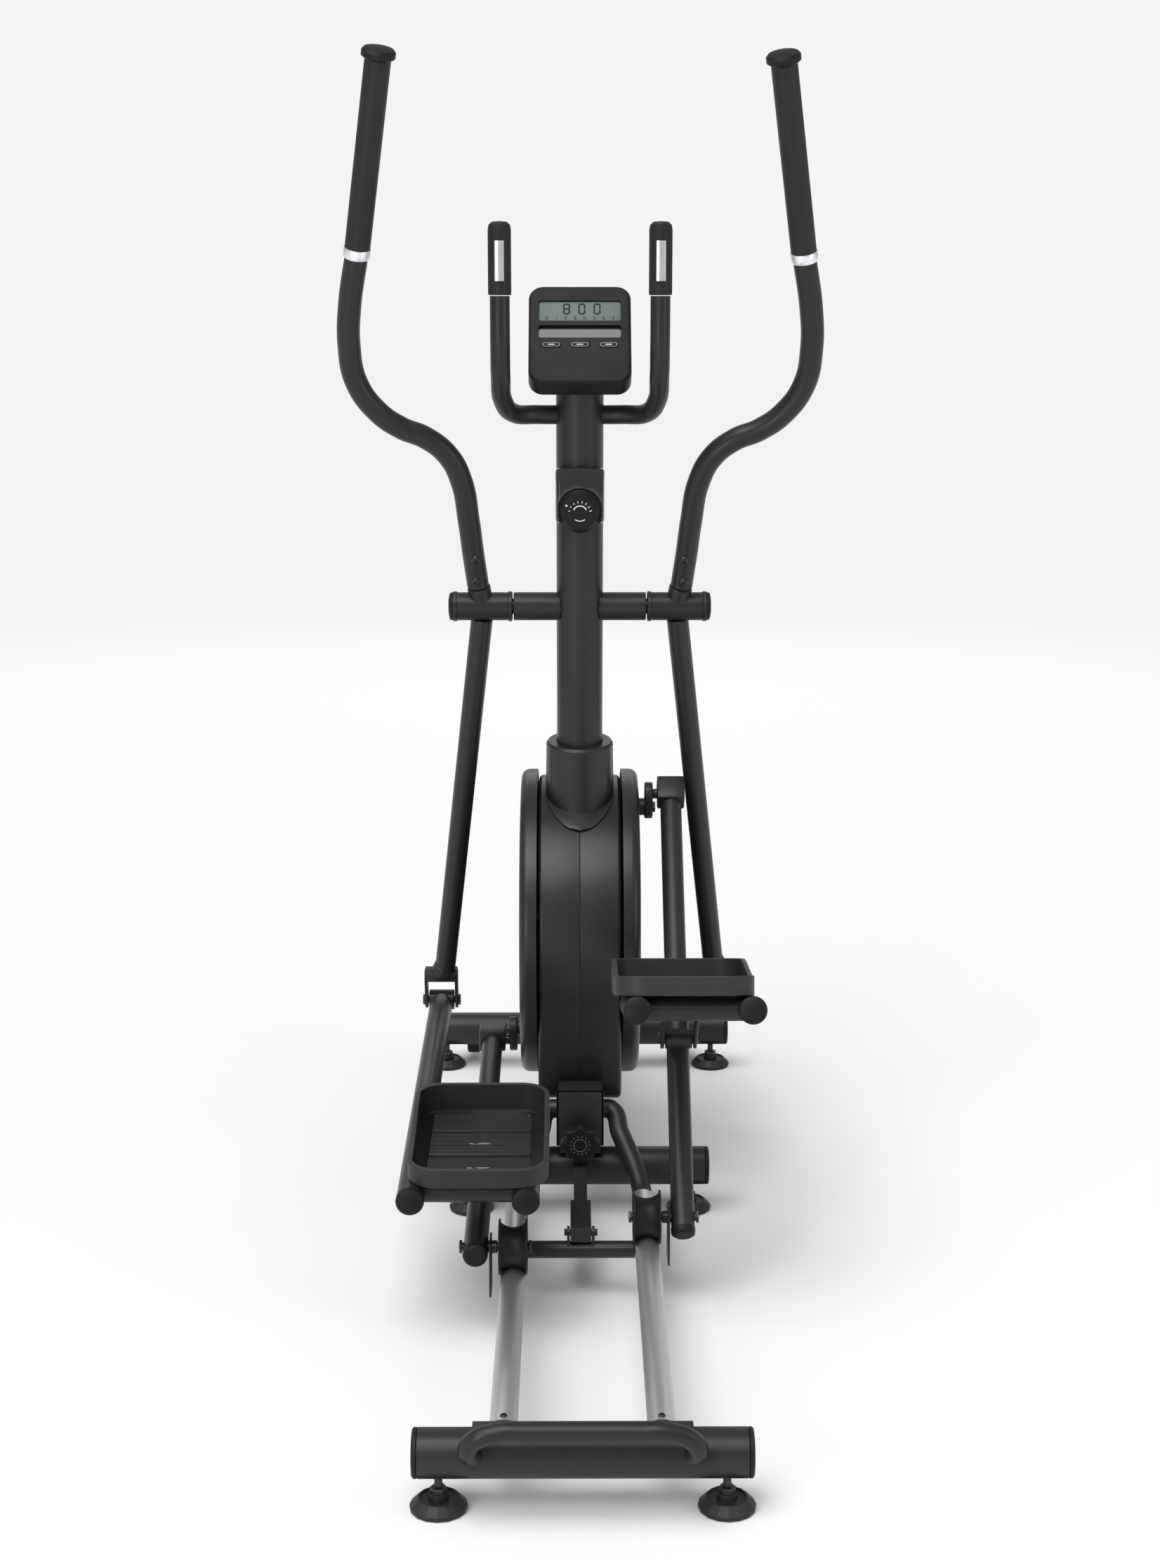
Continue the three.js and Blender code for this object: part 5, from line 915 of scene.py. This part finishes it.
# %% Handles
HANDLE = [(0.158, 0.038), (0.164, 0.090), (0.170, 0.150), (0.179, 0.212), (0.199, 0.256), (0.231, 0.284),
          (0.267, 0.300), (0.301, 0.326), (0.330, 0.372), (0.338, 0.430), (0.334, 0.490), (0.320, 0.567)]
HANDLE_TOP = (0.277, 0.845)
HANDLE_TUBE, HANDLE_GRIP = 0.017, 0.0185
for name, side in SIDES.items():
    body, place = f"{name}_swing", FRAMES[name]["swing"]
    route = [handle_point(side, x, up) for x, up in HANDLE]
    base, top = route[-1], handle_point(side, *HANDLE_TOP)
    along = (top - base).normalized()
    tube = bent(route, HANDLE_TUBE, 12)
    piece(f"handle_tube_{name}", [tube], body, "paint", [f"swing_handle_{name}"], place)
    grip = rod(HANDLE_GRIP, base, top, ease=0.002, steps=64)
    piece(f"handle_grip_{name}", [grip], body, "grip", (), place)
    band = [(0.0165, 0), (0.0188, 0), (0.0194, 0.001), (0.0194, 0.0135), (0.0188, 0.0145),
            (0.0165, 0.0145)]
    ring = turned(band, base - along * 0.004, base, 64, closed=True)
    piece(f"handle_ring_{name}", [ring], body, "bright", (), place)
    flare = [(0, 0), (0.019, 0), (0.024, 0.004), (0.024, 0.011), (0.021, 0.0145), (0.012, 0.0158), (0, 0.016)]
    cap = turned(flare, top - along * 0.002, top + along, 64)
    piece(f"handle_cap_{name}", [cap], body, "plastic", (), place)
    screws = []
    for up in (0.050, 0.088):
        at = handle_point(side, 0.160, up) + Vector((0, -0.0165, 0))
        screws.append(screw(at, (0, -1, 0), 0.0066))
    piece(f"handle_screws_{name}", screws, body, "dark_steel", (), place)
print("grips are", round((top - base).length, 3), "long")

# %% [markdown]
# ## Link frames
# A link runs back from the fork's eye and widens into two tubes that carry the pedal. It is designed
# along its own Y axis with the eye at zero. Two ears hang below it and hold the pin that the pedal arm
# turns on, and a domed cap closes each tube.

# %% Link frames
LINK_LENGTH = 0.823
LINK_TUBE = 0.019
INNER_X = 0.076
EAR_IN = 0.022
ARM_X = joint_at("right_arm_pivot").x
for name, side in SIDES.items():
    body, place = f"{name}_link", FRAMES[name]["link"]
    x, inner = side * LINK_X, side * INNER_X
    arm_x = side * ARM_X
    back = -math.sqrt(LINK_TO_PIVOT ** 2 - LINK_DROP ** 2)
    eye = [(0.0066, 0), (0.016, 0), (0.017, 0.001), (0.017, 0.041), (0.016, 0.042), (0.0066, 0.042)]
    parts = [turned(eye, (x - 0.021, 0, 0), (x, 0, 0), 64, closed=True)]
    parts.append(rod(0.016, (x, -0.014, 0), (x, -0.053, 0), LINK_TUBE))
    parts.append(rod(LINK_TUBE, (x, -0.052, 0), (x, -LINK_LENGTH + 0.006, 0), steps=64))
    parts.append(rod(LINK_TUBE, (inner, -0.571, 0), (inner, -LINK_LENGTH + 0.006, 0), steps=64))
    for y in (-0.590, -0.780):
        parts.append(rod(0.016, (inner, y, 0), (x, y, 0)))
    for offset in (-EAR_IN - 0.005, EAR_IN):
        ear = obround((back, -LINK_DROP), (-0.590, 0), 0.015)
        parts.append(side_plate(ear, arm_x + offset, arm_x + offset + 0.005))
    piece(f"link_tubes_{name}", parts, body, "paint", [f"link_frame_{name}"], place)
    caps = []
    for end_x in (x, inner):
        dome = [(0, 0), (0.014, 0.0003), (0.0185, 0.003), (0.0195, 0.006), (0.0195, 0.012), (0, 0.012)]
        caps.append(turned(dome, (end_x, -LINK_LENGTH, 0), (end_x, 0, 0), 64))
    piece(f"link_caps_{name}", caps, body, "plastic", (), place)
    pin = [rod(BOLT, (arm_x - 0.027, back, -LINK_DROP), (arm_x + 0.027, back, -LINK_DROP))]
    for end in (-1, 1):
        start = arm_x + end * 0.027
        pin.append(hexagon(NUT, (start, back, -LINK_DROP), (start + end * 0.004, back, -LINK_DROP)))
    piece(f"link_pin_{name}", pin, body, "dark_steel", (), place)
print("link pin", round(-back, 3), "behind the eye")

# %% [markdown]
# ## Pedals
# The pedal is a deep moulded tray. Its floor is inset from the outline, and the ring that is left is
# extruded and drawn up into a wall that is low at the heel and high at the toe. A live Bevel eases its
# edges. The tread is a row of fine ribs and two taller bars, with a screw near each corner. The two
# slots are not cut: each is a dark glossy plate on the floor, and its dark colour is painted shade for the recess.

# %% Pedals
TRAY_IN, TRAY_OUT, TRAY_LENGTH, TRAY_CORNER = 0.045, 0.239, 0.268, 0.042
FLOOR, WALL, TOE, HEEL = 0.008, 0.007, 0.040, 0.019
TRAY_Y, TRAY_Z = -LINK_LENGTH + 0.006, 0.0193


def rim_height(y):
    share = min(1.0, max(0.0, (y / TRAY_LENGTH - 0.2) / 0.64))
    return FLOOR + HEEL + (TOE - HEEL) * share * share * (3 - 2 * share)


def tray(side):
    outline = rounded(TRAY_IN, TRAY_OUT, 0, TRAY_LENGTH, TRAY_CORNER, 10, 16)
    part = bmesh.new()
    base = part.faces.new([part.verts.new((x, y, 0)) for x, y in outline])
    grown = bmesh.ops.extrude_face_region(part, geom=[base])["geom"]
    lifted = [item for item in grown if isinstance(item, bmesh.types.BMVert)]
    bmesh.ops.translate(part, verts=lifted, vec=(0, 0, FLOOR))
    top = [item for item in grown if isinstance(item, bmesh.types.BMFace)]
    bmesh.ops.recalc_face_normals(part, faces=part.faces)
    ring = bmesh.ops.inset_region(part, faces=top, thickness=WALL, use_even_offset=True)["faces"]
    raised = bmesh.ops.extrude_face_region(part, geom=ring)["geom"]
    for vertex in [item for item in raised if isinstance(item, bmesh.types.BMVert)]:
        vertex.co.z = rim_height(vertex.co.y)
    bmesh.ops.recalc_face_normals(part, faces=part.faces)
    if side < 0:
        bmesh.ops.scale(part, verts=part.verts, vec=(-1, 1, 1))
        bmesh.ops.recalc_face_normals(part, faces=part.faces)
    return part


RIBS = 44
for name, side in SIDES.items():
    body = f"{name}_link"
    place = FRAMES[name]["link"] @ Matrix.Translation((0, TRAY_Y, TRAY_Z))
    middle = side * (TRAY_IN + TRAY_OUT) / 2
    shell = piece(f"pedal_tray_{name}", [tray(side)], body, "pedal", [f"pedal_{name}"], place)
    ease = shell.modifiers.new("eased", "BEVEL")
    ease.width, ease.segments, ease.limit_method = 0.0012, 3, "ANGLE"
    ribs = []
    half = (TRAY_OUT - TRAY_IN) / 2 - 0.026
    for share in (0.34, 0.66):
        y = TRAY_LENGTH * share
        ribs.append(block((middle - half, y - 0.002, FLOOR - 0.001),
                          (middle + half, y + 0.002, FLOOR + 0.003), 0.0008))
    for index in range(RIBS):
        y = 0.034 + (TRAY_LENGTH - 0.062) * index / (RIBS - 1)
        ribs.append(block((middle - half, y - 0.0011, FLOOR - 0.001),
                          (middle + half, y + 0.0011, FLOOR + 0.0004), 0.0))
    piece(f"pedal_tread_{name}", ribs, body, "pedal", (), place)
    # The slots are not cut: each is a dark glossy plate on the tray's floor, and its dark colour is painted shade
    # for the recess.
    slot_shade_plates = []
    for share in (0.18, 0.50):
        y = TRAY_LENGTH * share
        recess = rounded(middle - 0.016, middle + 0.016, y - 0.004, y + 0.004, 0.0035)
        slot_shade_plates.append(plate(recess, 0.0022, Matrix.Translation((0, 0, FLOOR - 0.0012)), 0, 0.0004))
    piece(f"pedal_slot_shade_{name}", slot_shade_plates, body, "gloss", (), place)
    screws = [screw((middle + x, TRAY_LENGTH / 2 + y, FLOOR), (0, 0, 1), 0.004)
              for x in (-0.068, 0.068) for y in (-0.105, 0.105)]
    piece(f"pedal_screws_{name}", screws, body, "dark_steel", (), place)
print("pedal tray", TRAY_LENGTH, "long with", RIBS, "ribs")

# %% [markdown]
# ## Pedal arms
# The pedal arm rides on the rail through a roller and reaches forward to the crank, where it ends in a
# heavy joint block. It is designed along its own Y axis with the roller at zero. A thin guard hangs
# plumb beside the roller, so it is turned back by the arm's pitch.

# %% Pedal arms
ARM_TUBE = 0.017
for name, side in SIDES.items():
    body, place = f"{name}_arm", FRAMES[name]["arm"]
    x = side * ARM_X
    block_back, block_front = ARM_LENGTH - 0.021, ARM_LENGTH + 0.021
    parts = [rod(ARM_TUBE, (x, -0.024, 0), (x, block_back + 0.004, 0), steps=64)]
    parts.append(block((x - 0.022, block_back, -0.014), (x + 0.022, block_front, 0.022), 0.003))
    parts.append(rod(0.020, (x, block_back, -0.002), (x, block_front, -0.002), steps=64))
    parts.append(rod(0.015, (x - 0.020, ARM_ALONG, ARM_ABOVE), (x + 0.020, ARM_ALONG, ARM_ABOVE)))
    parts.append(block((x - 0.012, ARM_ALONG - 0.012, 0), (x + 0.012, ARM_ALONG + 0.012, ARM_ABOVE),
                       0.001))
    guard_in = side * 0.125
    guard = block((min(guard_in, guard_in + side * 0.003), -0.023, -0.066),
                  (max(guard_in, guard_in + side * 0.003), 0.023, 0.012), 0.0008)
    guard.transform(Matrix.Rotation(-PITCH[name], 4, "X"))
    parts.append(guard)
    piece(f"pedal_arm_tube_{name}", parts, body, "paint", [f"pedal_arm_{name}"], place)
    dome = [(0, 0), (0.013, 0.0004), (0.0168, 0.003), (0.0176, 0.006), (0.0176, 0.012), (0, 0.012)]
    cap = turned(dome, (x, -0.030, 0), (x, 0, 0), 64)
    piece(f"pedal_arm_cap_{name}", [cap], body, "plastic", (), place)
    axle = [rod(BOLT, (side * 0.069, 0, 0), (side * 0.168, 0, 0)),
            hexagon(NUT, (side * 0.069, 0, 0), (side * 0.073, 0, 0)),
            rod(0.009, (side * 0.117, 0, 0), (side * 0.130, 0, 0)),
            hexagon(NUT, (side * 0.166, 0, 0), (side * 0.170, 0, 0)),
            rod(0.008, (side * 0.1183, ARM_LENGTH, 0), (x, ARM_LENGTH, 0)),
            hexagon(0.010, (x, block_front - 0.001, 0.004), (x, block_front + 0.005, 0.004))]
    piece(f"pedal_arm_bolts_{name}", axle, body, "dark_steel", (), place)
print("pedal arm", ARM_LENGTH, "long")

# %% [markdown]
# ## Rollers
# The roller is waisted like an hourglass, and that keeps it on the rail. Its groove is the rail strip's
# own arc, a little wider, between two flat flanges. One closed outline, spun round the axle, gives the
# groove, the flanges, the recessed faces and the bore.

# %% Rollers
for name, side in SIDES.items():
    at = joint_at(f"{name}_roller_spin")
    waist, rim, half, bore = 0.0269, 0.039, 0.020, 0.0066
    grooved = crown_radius + 0.0006
    edge = CHORD / 2 + 0.0006
    profile = [(bore, -half), (0.014, -half), (0.015, -half + 0.002), (rim - 0.006, -half + 0.002),
               (rim - 0.005, -half), (rim - 0.0015, -half), (rim, -half + 0.001), (rim, -edge)]
    for step in range(17):
        offset = -edge + 2 * edge * step / 16
        profile.append((waist + grooved - math.sqrt(grooved ** 2 - offset ** 2), offset))
    profile += [(rim, edge), (rim, half - 0.001), (rim - 0.0015, half), (rim - 0.005, half),
                (rim - 0.006, half - 0.002), (0.015, half - 0.002), (0.014, half), (bore, half)]
    wheel = turned(profile, at, at + Vector((1, 0, 0)), 96, closed=True)
    piece(f"roller_wheel_{name}", [wheel], f"{name}_roller", "plastic", [f"roller_{name}"])
print("roller waist", waist, "rim", rim)

# %% [markdown]
# ## Console case
# The console faces the rider, tilted up. Its case is one rounded block with pockets cut for the
# screen, the shelf below it and the three keys. It is designed flat and laid in its place by one
# matrix, whose tilt comes from the direction that a key is pressed in.

# %% Console case, screen and shelf
INTO_FACE = Vector(joints["middle_key_press"]["axis"])
TILT = Matrix.Rotation(math.acos(-INTO_FACE.z), 4, "X")
screen_middle = (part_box("console_screen")[0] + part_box("console_screen")[1]) / 2
FACE = Matrix.Translation(screen_middle) @ TILT @ Matrix.Translation((0, -0.041, 0.00385))
CASE_DEPTH = 0.038
KEY_STEP = 0.043


def sunk(depth):
    return Matrix.Translation((0, 0, -depth))


case = plate(rounded(-0.077, 0.077, -0.086, 0.086, 0.022, 10), CASE_DEPTH, sunk(CASE_DEPTH), 0.006, 0.005, 5)
pockets = [plate(rounded(-0.062, 0.062, 0.023, 0.059, 0.004), 0.02, sunk(0.0055), 0, 0),
           plate(rounded(-0.062, 0.062, -0.007, 0.015, 0.004), 0.02, sunk(0.007), 0, 0)]
for step in (-1, 0, 1):
    x = step * KEY_STEP
    key_pocket = rounded(x - 0.0153, x + 0.0153, -0.0248, -0.0152, 0.004)
    pockets.append(plate(key_pocket, 0.02, sunk(0.007), 0, 0))
piece("console_shell", [carved(case, pockets)], "root", "plastic", ["console_case"], FACE)
glass = plate(rounded(-0.0617, 0.0617, 0.0233, 0.0587, 0.004), 0.0025, sunk(0.005), 0, 0.0003)
piece("console_display", [glass], "root", "screen", ["console_screen"], FACE)
shelf = plate(rounded(-0.0617, 0.0617, -0.0067, 0.0147, 0.0038), 0.0015, sunk(0.007), 0, 0)
piece("console_shelf", [shelf], "root", "gloss", (), FACE)
print("console faces", [round(value, 3) for value in -INTO_FACE])

# %% [markdown]
# ## Digits
# The display shows plain digits. Each is drawn as up to seven short bars, which is how such a screen
# is made: a table says which bars a digit lights, and another where each bar stands.

# %% Digits on the display
SEGMENTS = {"0": "abcdef", "1": "bc", "2": "abged", "3": "abgcd", "5": "afgcd", "8": "abcdefg"}
BARS = {"a": (0, 1, 0), "b": (0.5, 0.5, 1), "c": (0.5, -0.5, 1), "d": (0, -1, 0), "e": (-0.5, -0.5, 1),
        "f": (-0.5, 0.5, 1), "g": (0, 0, 0)}


def digit(text, x, y, size):
    bars = []
    for bar in SEGMENTS[text]:
        along, up, upright = BARS[bar]
        half = (size * 0.13, size * 0.42) if upright else (size * 0.42, size * 0.13)
        cx, cy = x + along * size, y + up * size
        bars.append(block((cx - half[0], cy - half[1], -0.0026), (cx + half[0], cy + half[1], -0.0021), 0.0))
    return bars


ink = []
for index, text in enumerate("800"):
    ink += digit(text, -0.020 + index * 0.023, 0.0455, 0.0085)
for index, text in enumerate("01280353"):
    ink += digit(text, -0.050 + index * 0.0143, 0.0292, 0.0024)
piece("console_digits", ink, "root", "ink", (), FACE)
print("bars drawn:", sum(len(SEGMENTS[text]) for text in "80001280353"))

# %% [markdown]
# ## Keys
# Three keys stand in their own pockets and travel into the case. Each has a printed outline and a
# dash. The outline is a flat ring of faces between two rounded rectangles, given a little thickness.

# %% Keys
for step, name in zip((-1, 0, 1), ("left", "middle", "right")):
    x = step * KEY_STEP
    key = plate(rounded(x - 0.015, x + 0.015, -0.0245, -0.0155, 0.0035), 0.0052, sunk(0.004), 0.0, 0.001)
    piece(f"key_cap_{name}", [key], f"key_{name}", "plastic", [f"button_{name}"], FACE)
    outer = rounded(x - 0.0128, x + 0.0128, -0.0236, -0.0164, 0.0034)
    inner = rounded(x - 0.0121, x + 0.0121, -0.0229, -0.0171, 0.0027)
    outline_mark = bmesh.new()
    rims = [[outline_mark.verts.new((px, py, 0.00125)) for px, py in ring] for ring in (outer, inner)]
    for index in range(len(outer)):
        after = (index + 1) % len(outer)
        outline_mark.faces.new((rims[0][index], rims[0][after], rims[1][after], rims[1][index]))
    bmesh.ops.solidify(outline_mark, geom=outline_mark.faces[:], thickness=0.0003)
    bmesh.ops.recalc_face_normals(outline_mark, faces=outline_mark.faces)
    dash = block((x - 0.005, -0.0207, 0.0009), (x + 0.005, -0.0193, 0.0014), 0.0)
    piece(f"key_mark_{name}", [outline_mark, dash], f"key_{name}", "mark", (), FACE)
print("keys stand", KEY_STEP, "apart")

# %% [markdown]
# ## Pulse handles
# One bar is bent through the mast and stands up on both sides. Each upright carries a grip with metal
# plates that read the pulse. The plates are thin rings cut to a part turn by spinning less than full.

# %% Pulse bar, grips and sensors
def sensor_plate(radius, thick, start, end, first, sweep):
    part = bmesh.new()
    length = (Vector(end) - Vector(start)).length
    lean = Matrix.Rotation(math.radians(first), 4, "Z")
    ring = [part.verts.new(lean @ Vector(point)) for point in
            ((radius, 0, 0), (radius + thick, 0, 0), (radius + thick, 0, length), (radius, 0, length))]
    face = part.faces.new(ring)
    bmesh.ops.spin(part, geom=[face], cent=(0, 0, 0), axis=(0, 0, 1), dvec=(0, 0, 0),
                   angle=math.radians(sweep), steps=16, use_merge=False)
    bmesh.ops.holes_fill(part, edges=part.edges, sides=4)
    bmesh.ops.recalc_face_normals(part, faces=part.faces)
    part.transform(Matrix.Translation(start))
    return part


grip_low, grip_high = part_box("pulse_grip_right")
PULSE_X = (grip_low.x + grip_high.x) / 2
PULSE_Y = (grip_low.y + grip_high.y) / 2
root_z = grip_low.z - 0.177
bar_y = mast_at(root_z).y
bend = [(MAST + 0.028, bar_y - 0.004, root_z), (PULSE_X - 0.018, bar_y - 0.026, root_z + 0.003),
        (PULSE_X - 0.002, bar_y - 0.062, root_z + 0.024), (PULSE_X, PULSE_Y + 0.017, root_z + 0.060),
        (PULSE_X, PULSE_Y + 0.003, root_z + 0.100), (PULSE_X, PULSE_Y, grip_low.z - 0.030),
        (PULSE_X, PULSE_Y, grip_low.z - 0.001)]
route = [(-x, y, z) for x, y, z in reversed(bend)] + [(0, bar_y, root_z)] + bend
PULSE_TUBE = 0.0145
piece("pulse_tube", [bent(route, PULSE_TUBE, 10)], "root", "paint", ["pulse_bar"])
for name, side in SIDES.items():
    x = side * PULSE_X
    bottom, top = Vector((x, PULSE_Y, grip_low.z)), Vector((x, PULSE_Y, grip_high.z))
    length = top.z - bottom.z
    profile = [(0, 0), (0.0155, 0), (0.017, 0.0015), (0.017, length - 0.012), (0.0155, length - 0.005),
               (0.011, length - 0.001), (0, length)]
    piece(f"pulse_handle_{name}", [turned(profile, bottom, top, 64)], "root", "grip", [f"pulse_grip_{name}"])
    first_end, last_end = bottom + Vector((0, 0, 0.020)), top - Vector((0, 0, 0.028))
    plates = [sensor_plate(0.0168, 0.0012, first_end, last_end, first, 44) for first in (248, 68)]
    piece(f"pulse_sensors_{name}", plates, "root", "sensor")
print("pulse grips", round(length, 3), "long")

# %% [markdown]
# ## Tension control
# A glossy block on the mast holds the knob that sets the effort. The block has a round seat cut out of
# it, square to the knob's axis. The knob is turned, with fine ridges set round its edge for grip.

# %% Tension block and knob
hub = joint_at("tension_turn")
TOWARDS_RIDER = Vector(axis).normalized()
block_low, block_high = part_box("tension_bracket")
KNOB = 0.033
knob_face = MAST + 0.014
body_block = block(block_low, (block_high.x, mast_at(hub.z).y - 0.020, block_high.z), 0.006)
seat_ends = [hub + TOWARDS_RIDER * (knob_face + depth) for depth in (0, 0.060)]
room = rod(KNOB + 0.002, *seat_ends, ease=0.0001, steps=96)
piece("tension_housing", [carved(body_block, [room])], "root", "gloss", ["tension_bracket"])
seat = hub + TOWARDS_RIDER * (knob_face + 0.0003)
knob_profile = [(0, 0), (KNOB - 0.001, 0), (KNOB, 0.001), (KNOB, 0.008), (KNOB - 0.004, 0.013),
                (KNOB - 0.006, 0.017), (KNOB - 0.009, 0.018), (0.010, 0.0172), (0, 0.0168)]
parts = [turned(knob_profile, seat, seat + TOWARDS_RIDER, 96)]
knob_frame = Matrix.Translation(seat) @ TOWARDS_RIDER.to_track_quat("Z", "Y").to_matrix().to_4x4()
RIDGES = 24
for step in range(RIDGES):
    spin = knob_frame @ Matrix.Rotation(math.tau * step / RIDGES, 4, "Z")
    parts.append(block((KNOB - 0.0012, -0.0014, 0.001), (KNOB + 0.0006, 0.0014, 0.008), 0.0004, spin))
piece("tension_dial", parts, "tension", "plastic", ["tension_knob"])
print("tension knob radius", KNOB, "with", RIDGES, "ridges")

# %% [markdown]
# ## Marks on the tension knob
# Two thin arcs, a row of ticks that grow longer and a round dot are printed on the knob's face. They
# are thin plates standing a fraction of a millimetre proud, so that they turn with the knob.

# %% Marks on the tension knob
MARK_HEIGHT = 0.0172
TICKS = 8


def face_arc(radius, width, start, end, steps=20):
    outer = arc(0, 0, radius + width / 2, start, end, steps)
    inner = arc(0, 0, radius - width / 2, end, start, steps)
    return plate(outer + inner, 0.0006, knob_frame @ Matrix.Translation((0, 0, MARK_HEIGHT)), 0.0, 0.0)


def on_face(degrees, out):
    spin = Matrix.Rotation(math.radians(degrees), 4, "Z")
    return knob_frame @ spin @ Matrix.Translation((0, out, MARK_HEIGHT))


marks = [face_arc(0.0105, 0.0016, 25, 155), face_arc(0.0128, 0.0012, 235, 305)]
for step in range(TICKS):
    size = 0.0018 + 0.0003 * step
    spin = on_face(80 - 160 * step / (TICKS - 1), 0.0165)
    marks.append(block((-0.0006, -size / 2, 0.0), (0.0006, size / 2, 0.0007), 0.0, spin))
spot = on_face(62, 0.0232)
marks.append(turned([(0, 0), (0.0016, 0), (0.0016, 0.0009), (0, 0.0009)], spot.translation,
                    spot.translation + TOWARDS_RIDER, 20))
piece("tension_marks", marks, "tension", "mark")
print("ticks on the knob:", TICKS)

# %% [markdown]
# ## What stays from the frame
# The main beam, the parts inside the shroud and a few small brackets keep their own shape. They only
# need a finish.

# %% Finishes for the frame's own nodes
KEPT = {
    "paint": ["main_frame", "rail_plate", "rail_crossbar", "strut_lower", "strut_upper"],
    "steel": ["crank_axle", "flywheel_shaft"],
    "iron": ["flywheel", "brake_shoe"],
    "rubber": ["drive_belt"],
}
for look, names in KEPT.items():
    material, slot = LOOKS[look]
    for name in names:
        node = frame["nodes"][name]
        node.data.materials.clear()
        node.data.materials.append(material)
print("kept as they are:", sum(len(names) for names in KEPT.values()))

# %% [markdown]
# ## Floor and surroundings
# The floor is one large pale plane. The surroundings are a plain pale colour where the camera sees
# them and a dimmer one as light, so that the background stays bright while black surfaces stay black.

# %% Floor and surroundings
floor = bmesh.new()
bmesh.ops.create_grid(floor, x_segments=1, y_segments=1, size=60)
floor.transform(Matrix.Translation((0, 0, -0.0005)))
ground = to_object("floor", floor)
pale = bpy.data.materials.new("floor")
pale.use_nodes = True
pale.node_tree.nodes["Principled BSDF"].inputs["Base Color"].default_value = (0.9, 0.9, 0.9, 1)
pale.node_tree.nodes["Principled BSDF"].inputs["Roughness"].default_value = 0.95
pale.node_tree.nodes["Principled BSDF"].inputs["Specular IOR Level"].default_value = 0.0
ground.data.materials.append(pale)

world = bpy.data.worlds.new("studio")
world.use_nodes = True
sky = world.node_tree
seen = sky.nodes.new("ShaderNodeBackground")
seen.inputs["Color"].default_value = (0.905, 0.905, 0.905, 1)
sky.nodes["Background"].inputs["Color"].default_value = (1, 1, 1, 1)
sky.nodes["Background"].inputs["Strength"].default_value = 0.42
choose = sky.nodes.new("ShaderNodeMixShader")
sky.links.new(sky.nodes.new("ShaderNodeLightPath").outputs["Is Camera Ray"], choose.inputs["Fac"])
sky.links.new(sky.nodes["Background"].outputs[0], choose.inputs[1])
sky.links.new(seen.outputs[0], choose.inputs[2])
sky.links.new(choose.outputs[0], sky.nodes["World Output"].inputs["Surface"])
bpy.context.scene.world = world
bpy.context.scene.view_settings.view_transform = "Standard"
print("world:", world.name)

# %% [markdown]
# ## Lights
# A wide soft sun gives the faint shadow under the machine. Soft boxes at the sides leave long
# highlights on the tubes, and a large panel beyond the machine brightens the floor.

# %% Lights
daylight = bpy.data.lights.new("daylight", "SUN")
daylight.energy = 2.0
daylight.angle = math.radians(50)
sun = bpy.data.objects.new("daylight", daylight)
sun.rotation_euler = (math.radians(22), math.radians(-16), 0)
bpy.context.scene.collection.objects.link(sun)


def softbox(name, at, size, power, towards=(0, 0.1, 0.6)):
    light = bpy.data.lights.new(name, "AREA")
    light.shape = "RECTANGLE"
    light.size, light.size_y = size
    light.energy = power
    holder = bpy.data.objects.new(name, light)
    holder.location = at
    holder.rotation_euler = (Vector(towards) - Vector(at)).to_track_quat("-Z", "Y").to_euler()
    holder.visible_camera = False
    bpy.context.scene.collection.objects.link(holder)


softbox("left_strip", (-1.5, -2.9, 1.0), (0.5, 1.2), 17, (0, 0.1, 0.45))
softbox("right_strip", (2.6, -1.6, 1.6), (0.4, 1.8), 12)
softbox("above", (-0.5, -1.4, 3.2), (0.9, 0.9), 8)
softbox("far_panel", (0, 6.0, 3.2), (4.2, 2.2), 24, (0, -0.4, 0.1))

# %% [markdown]
# ## Camera
# The camera stands behind the machine at shoulder height and looks a little down at it. Its place and
# focal length were worked out together with the machine's sizes, so they are plain numbers here.

# %% Camera
lens = bpy.data.cameras.new("camera")
lens.sensor_width = 36.0
lens.lens = 53.12
camera = bpy.data.objects.new("camera", lens)
camera.location = (-0.0126, -3.3732, 1.4192)
camera.rotation_euler = (math.radians(90 - 11.816), 0, math.radians(-0.207))
bpy.context.scene.collection.objects.link(camera)
bpy.context.scene.camera = camera
print("camera stands at height", round(camera.location.z, 3))
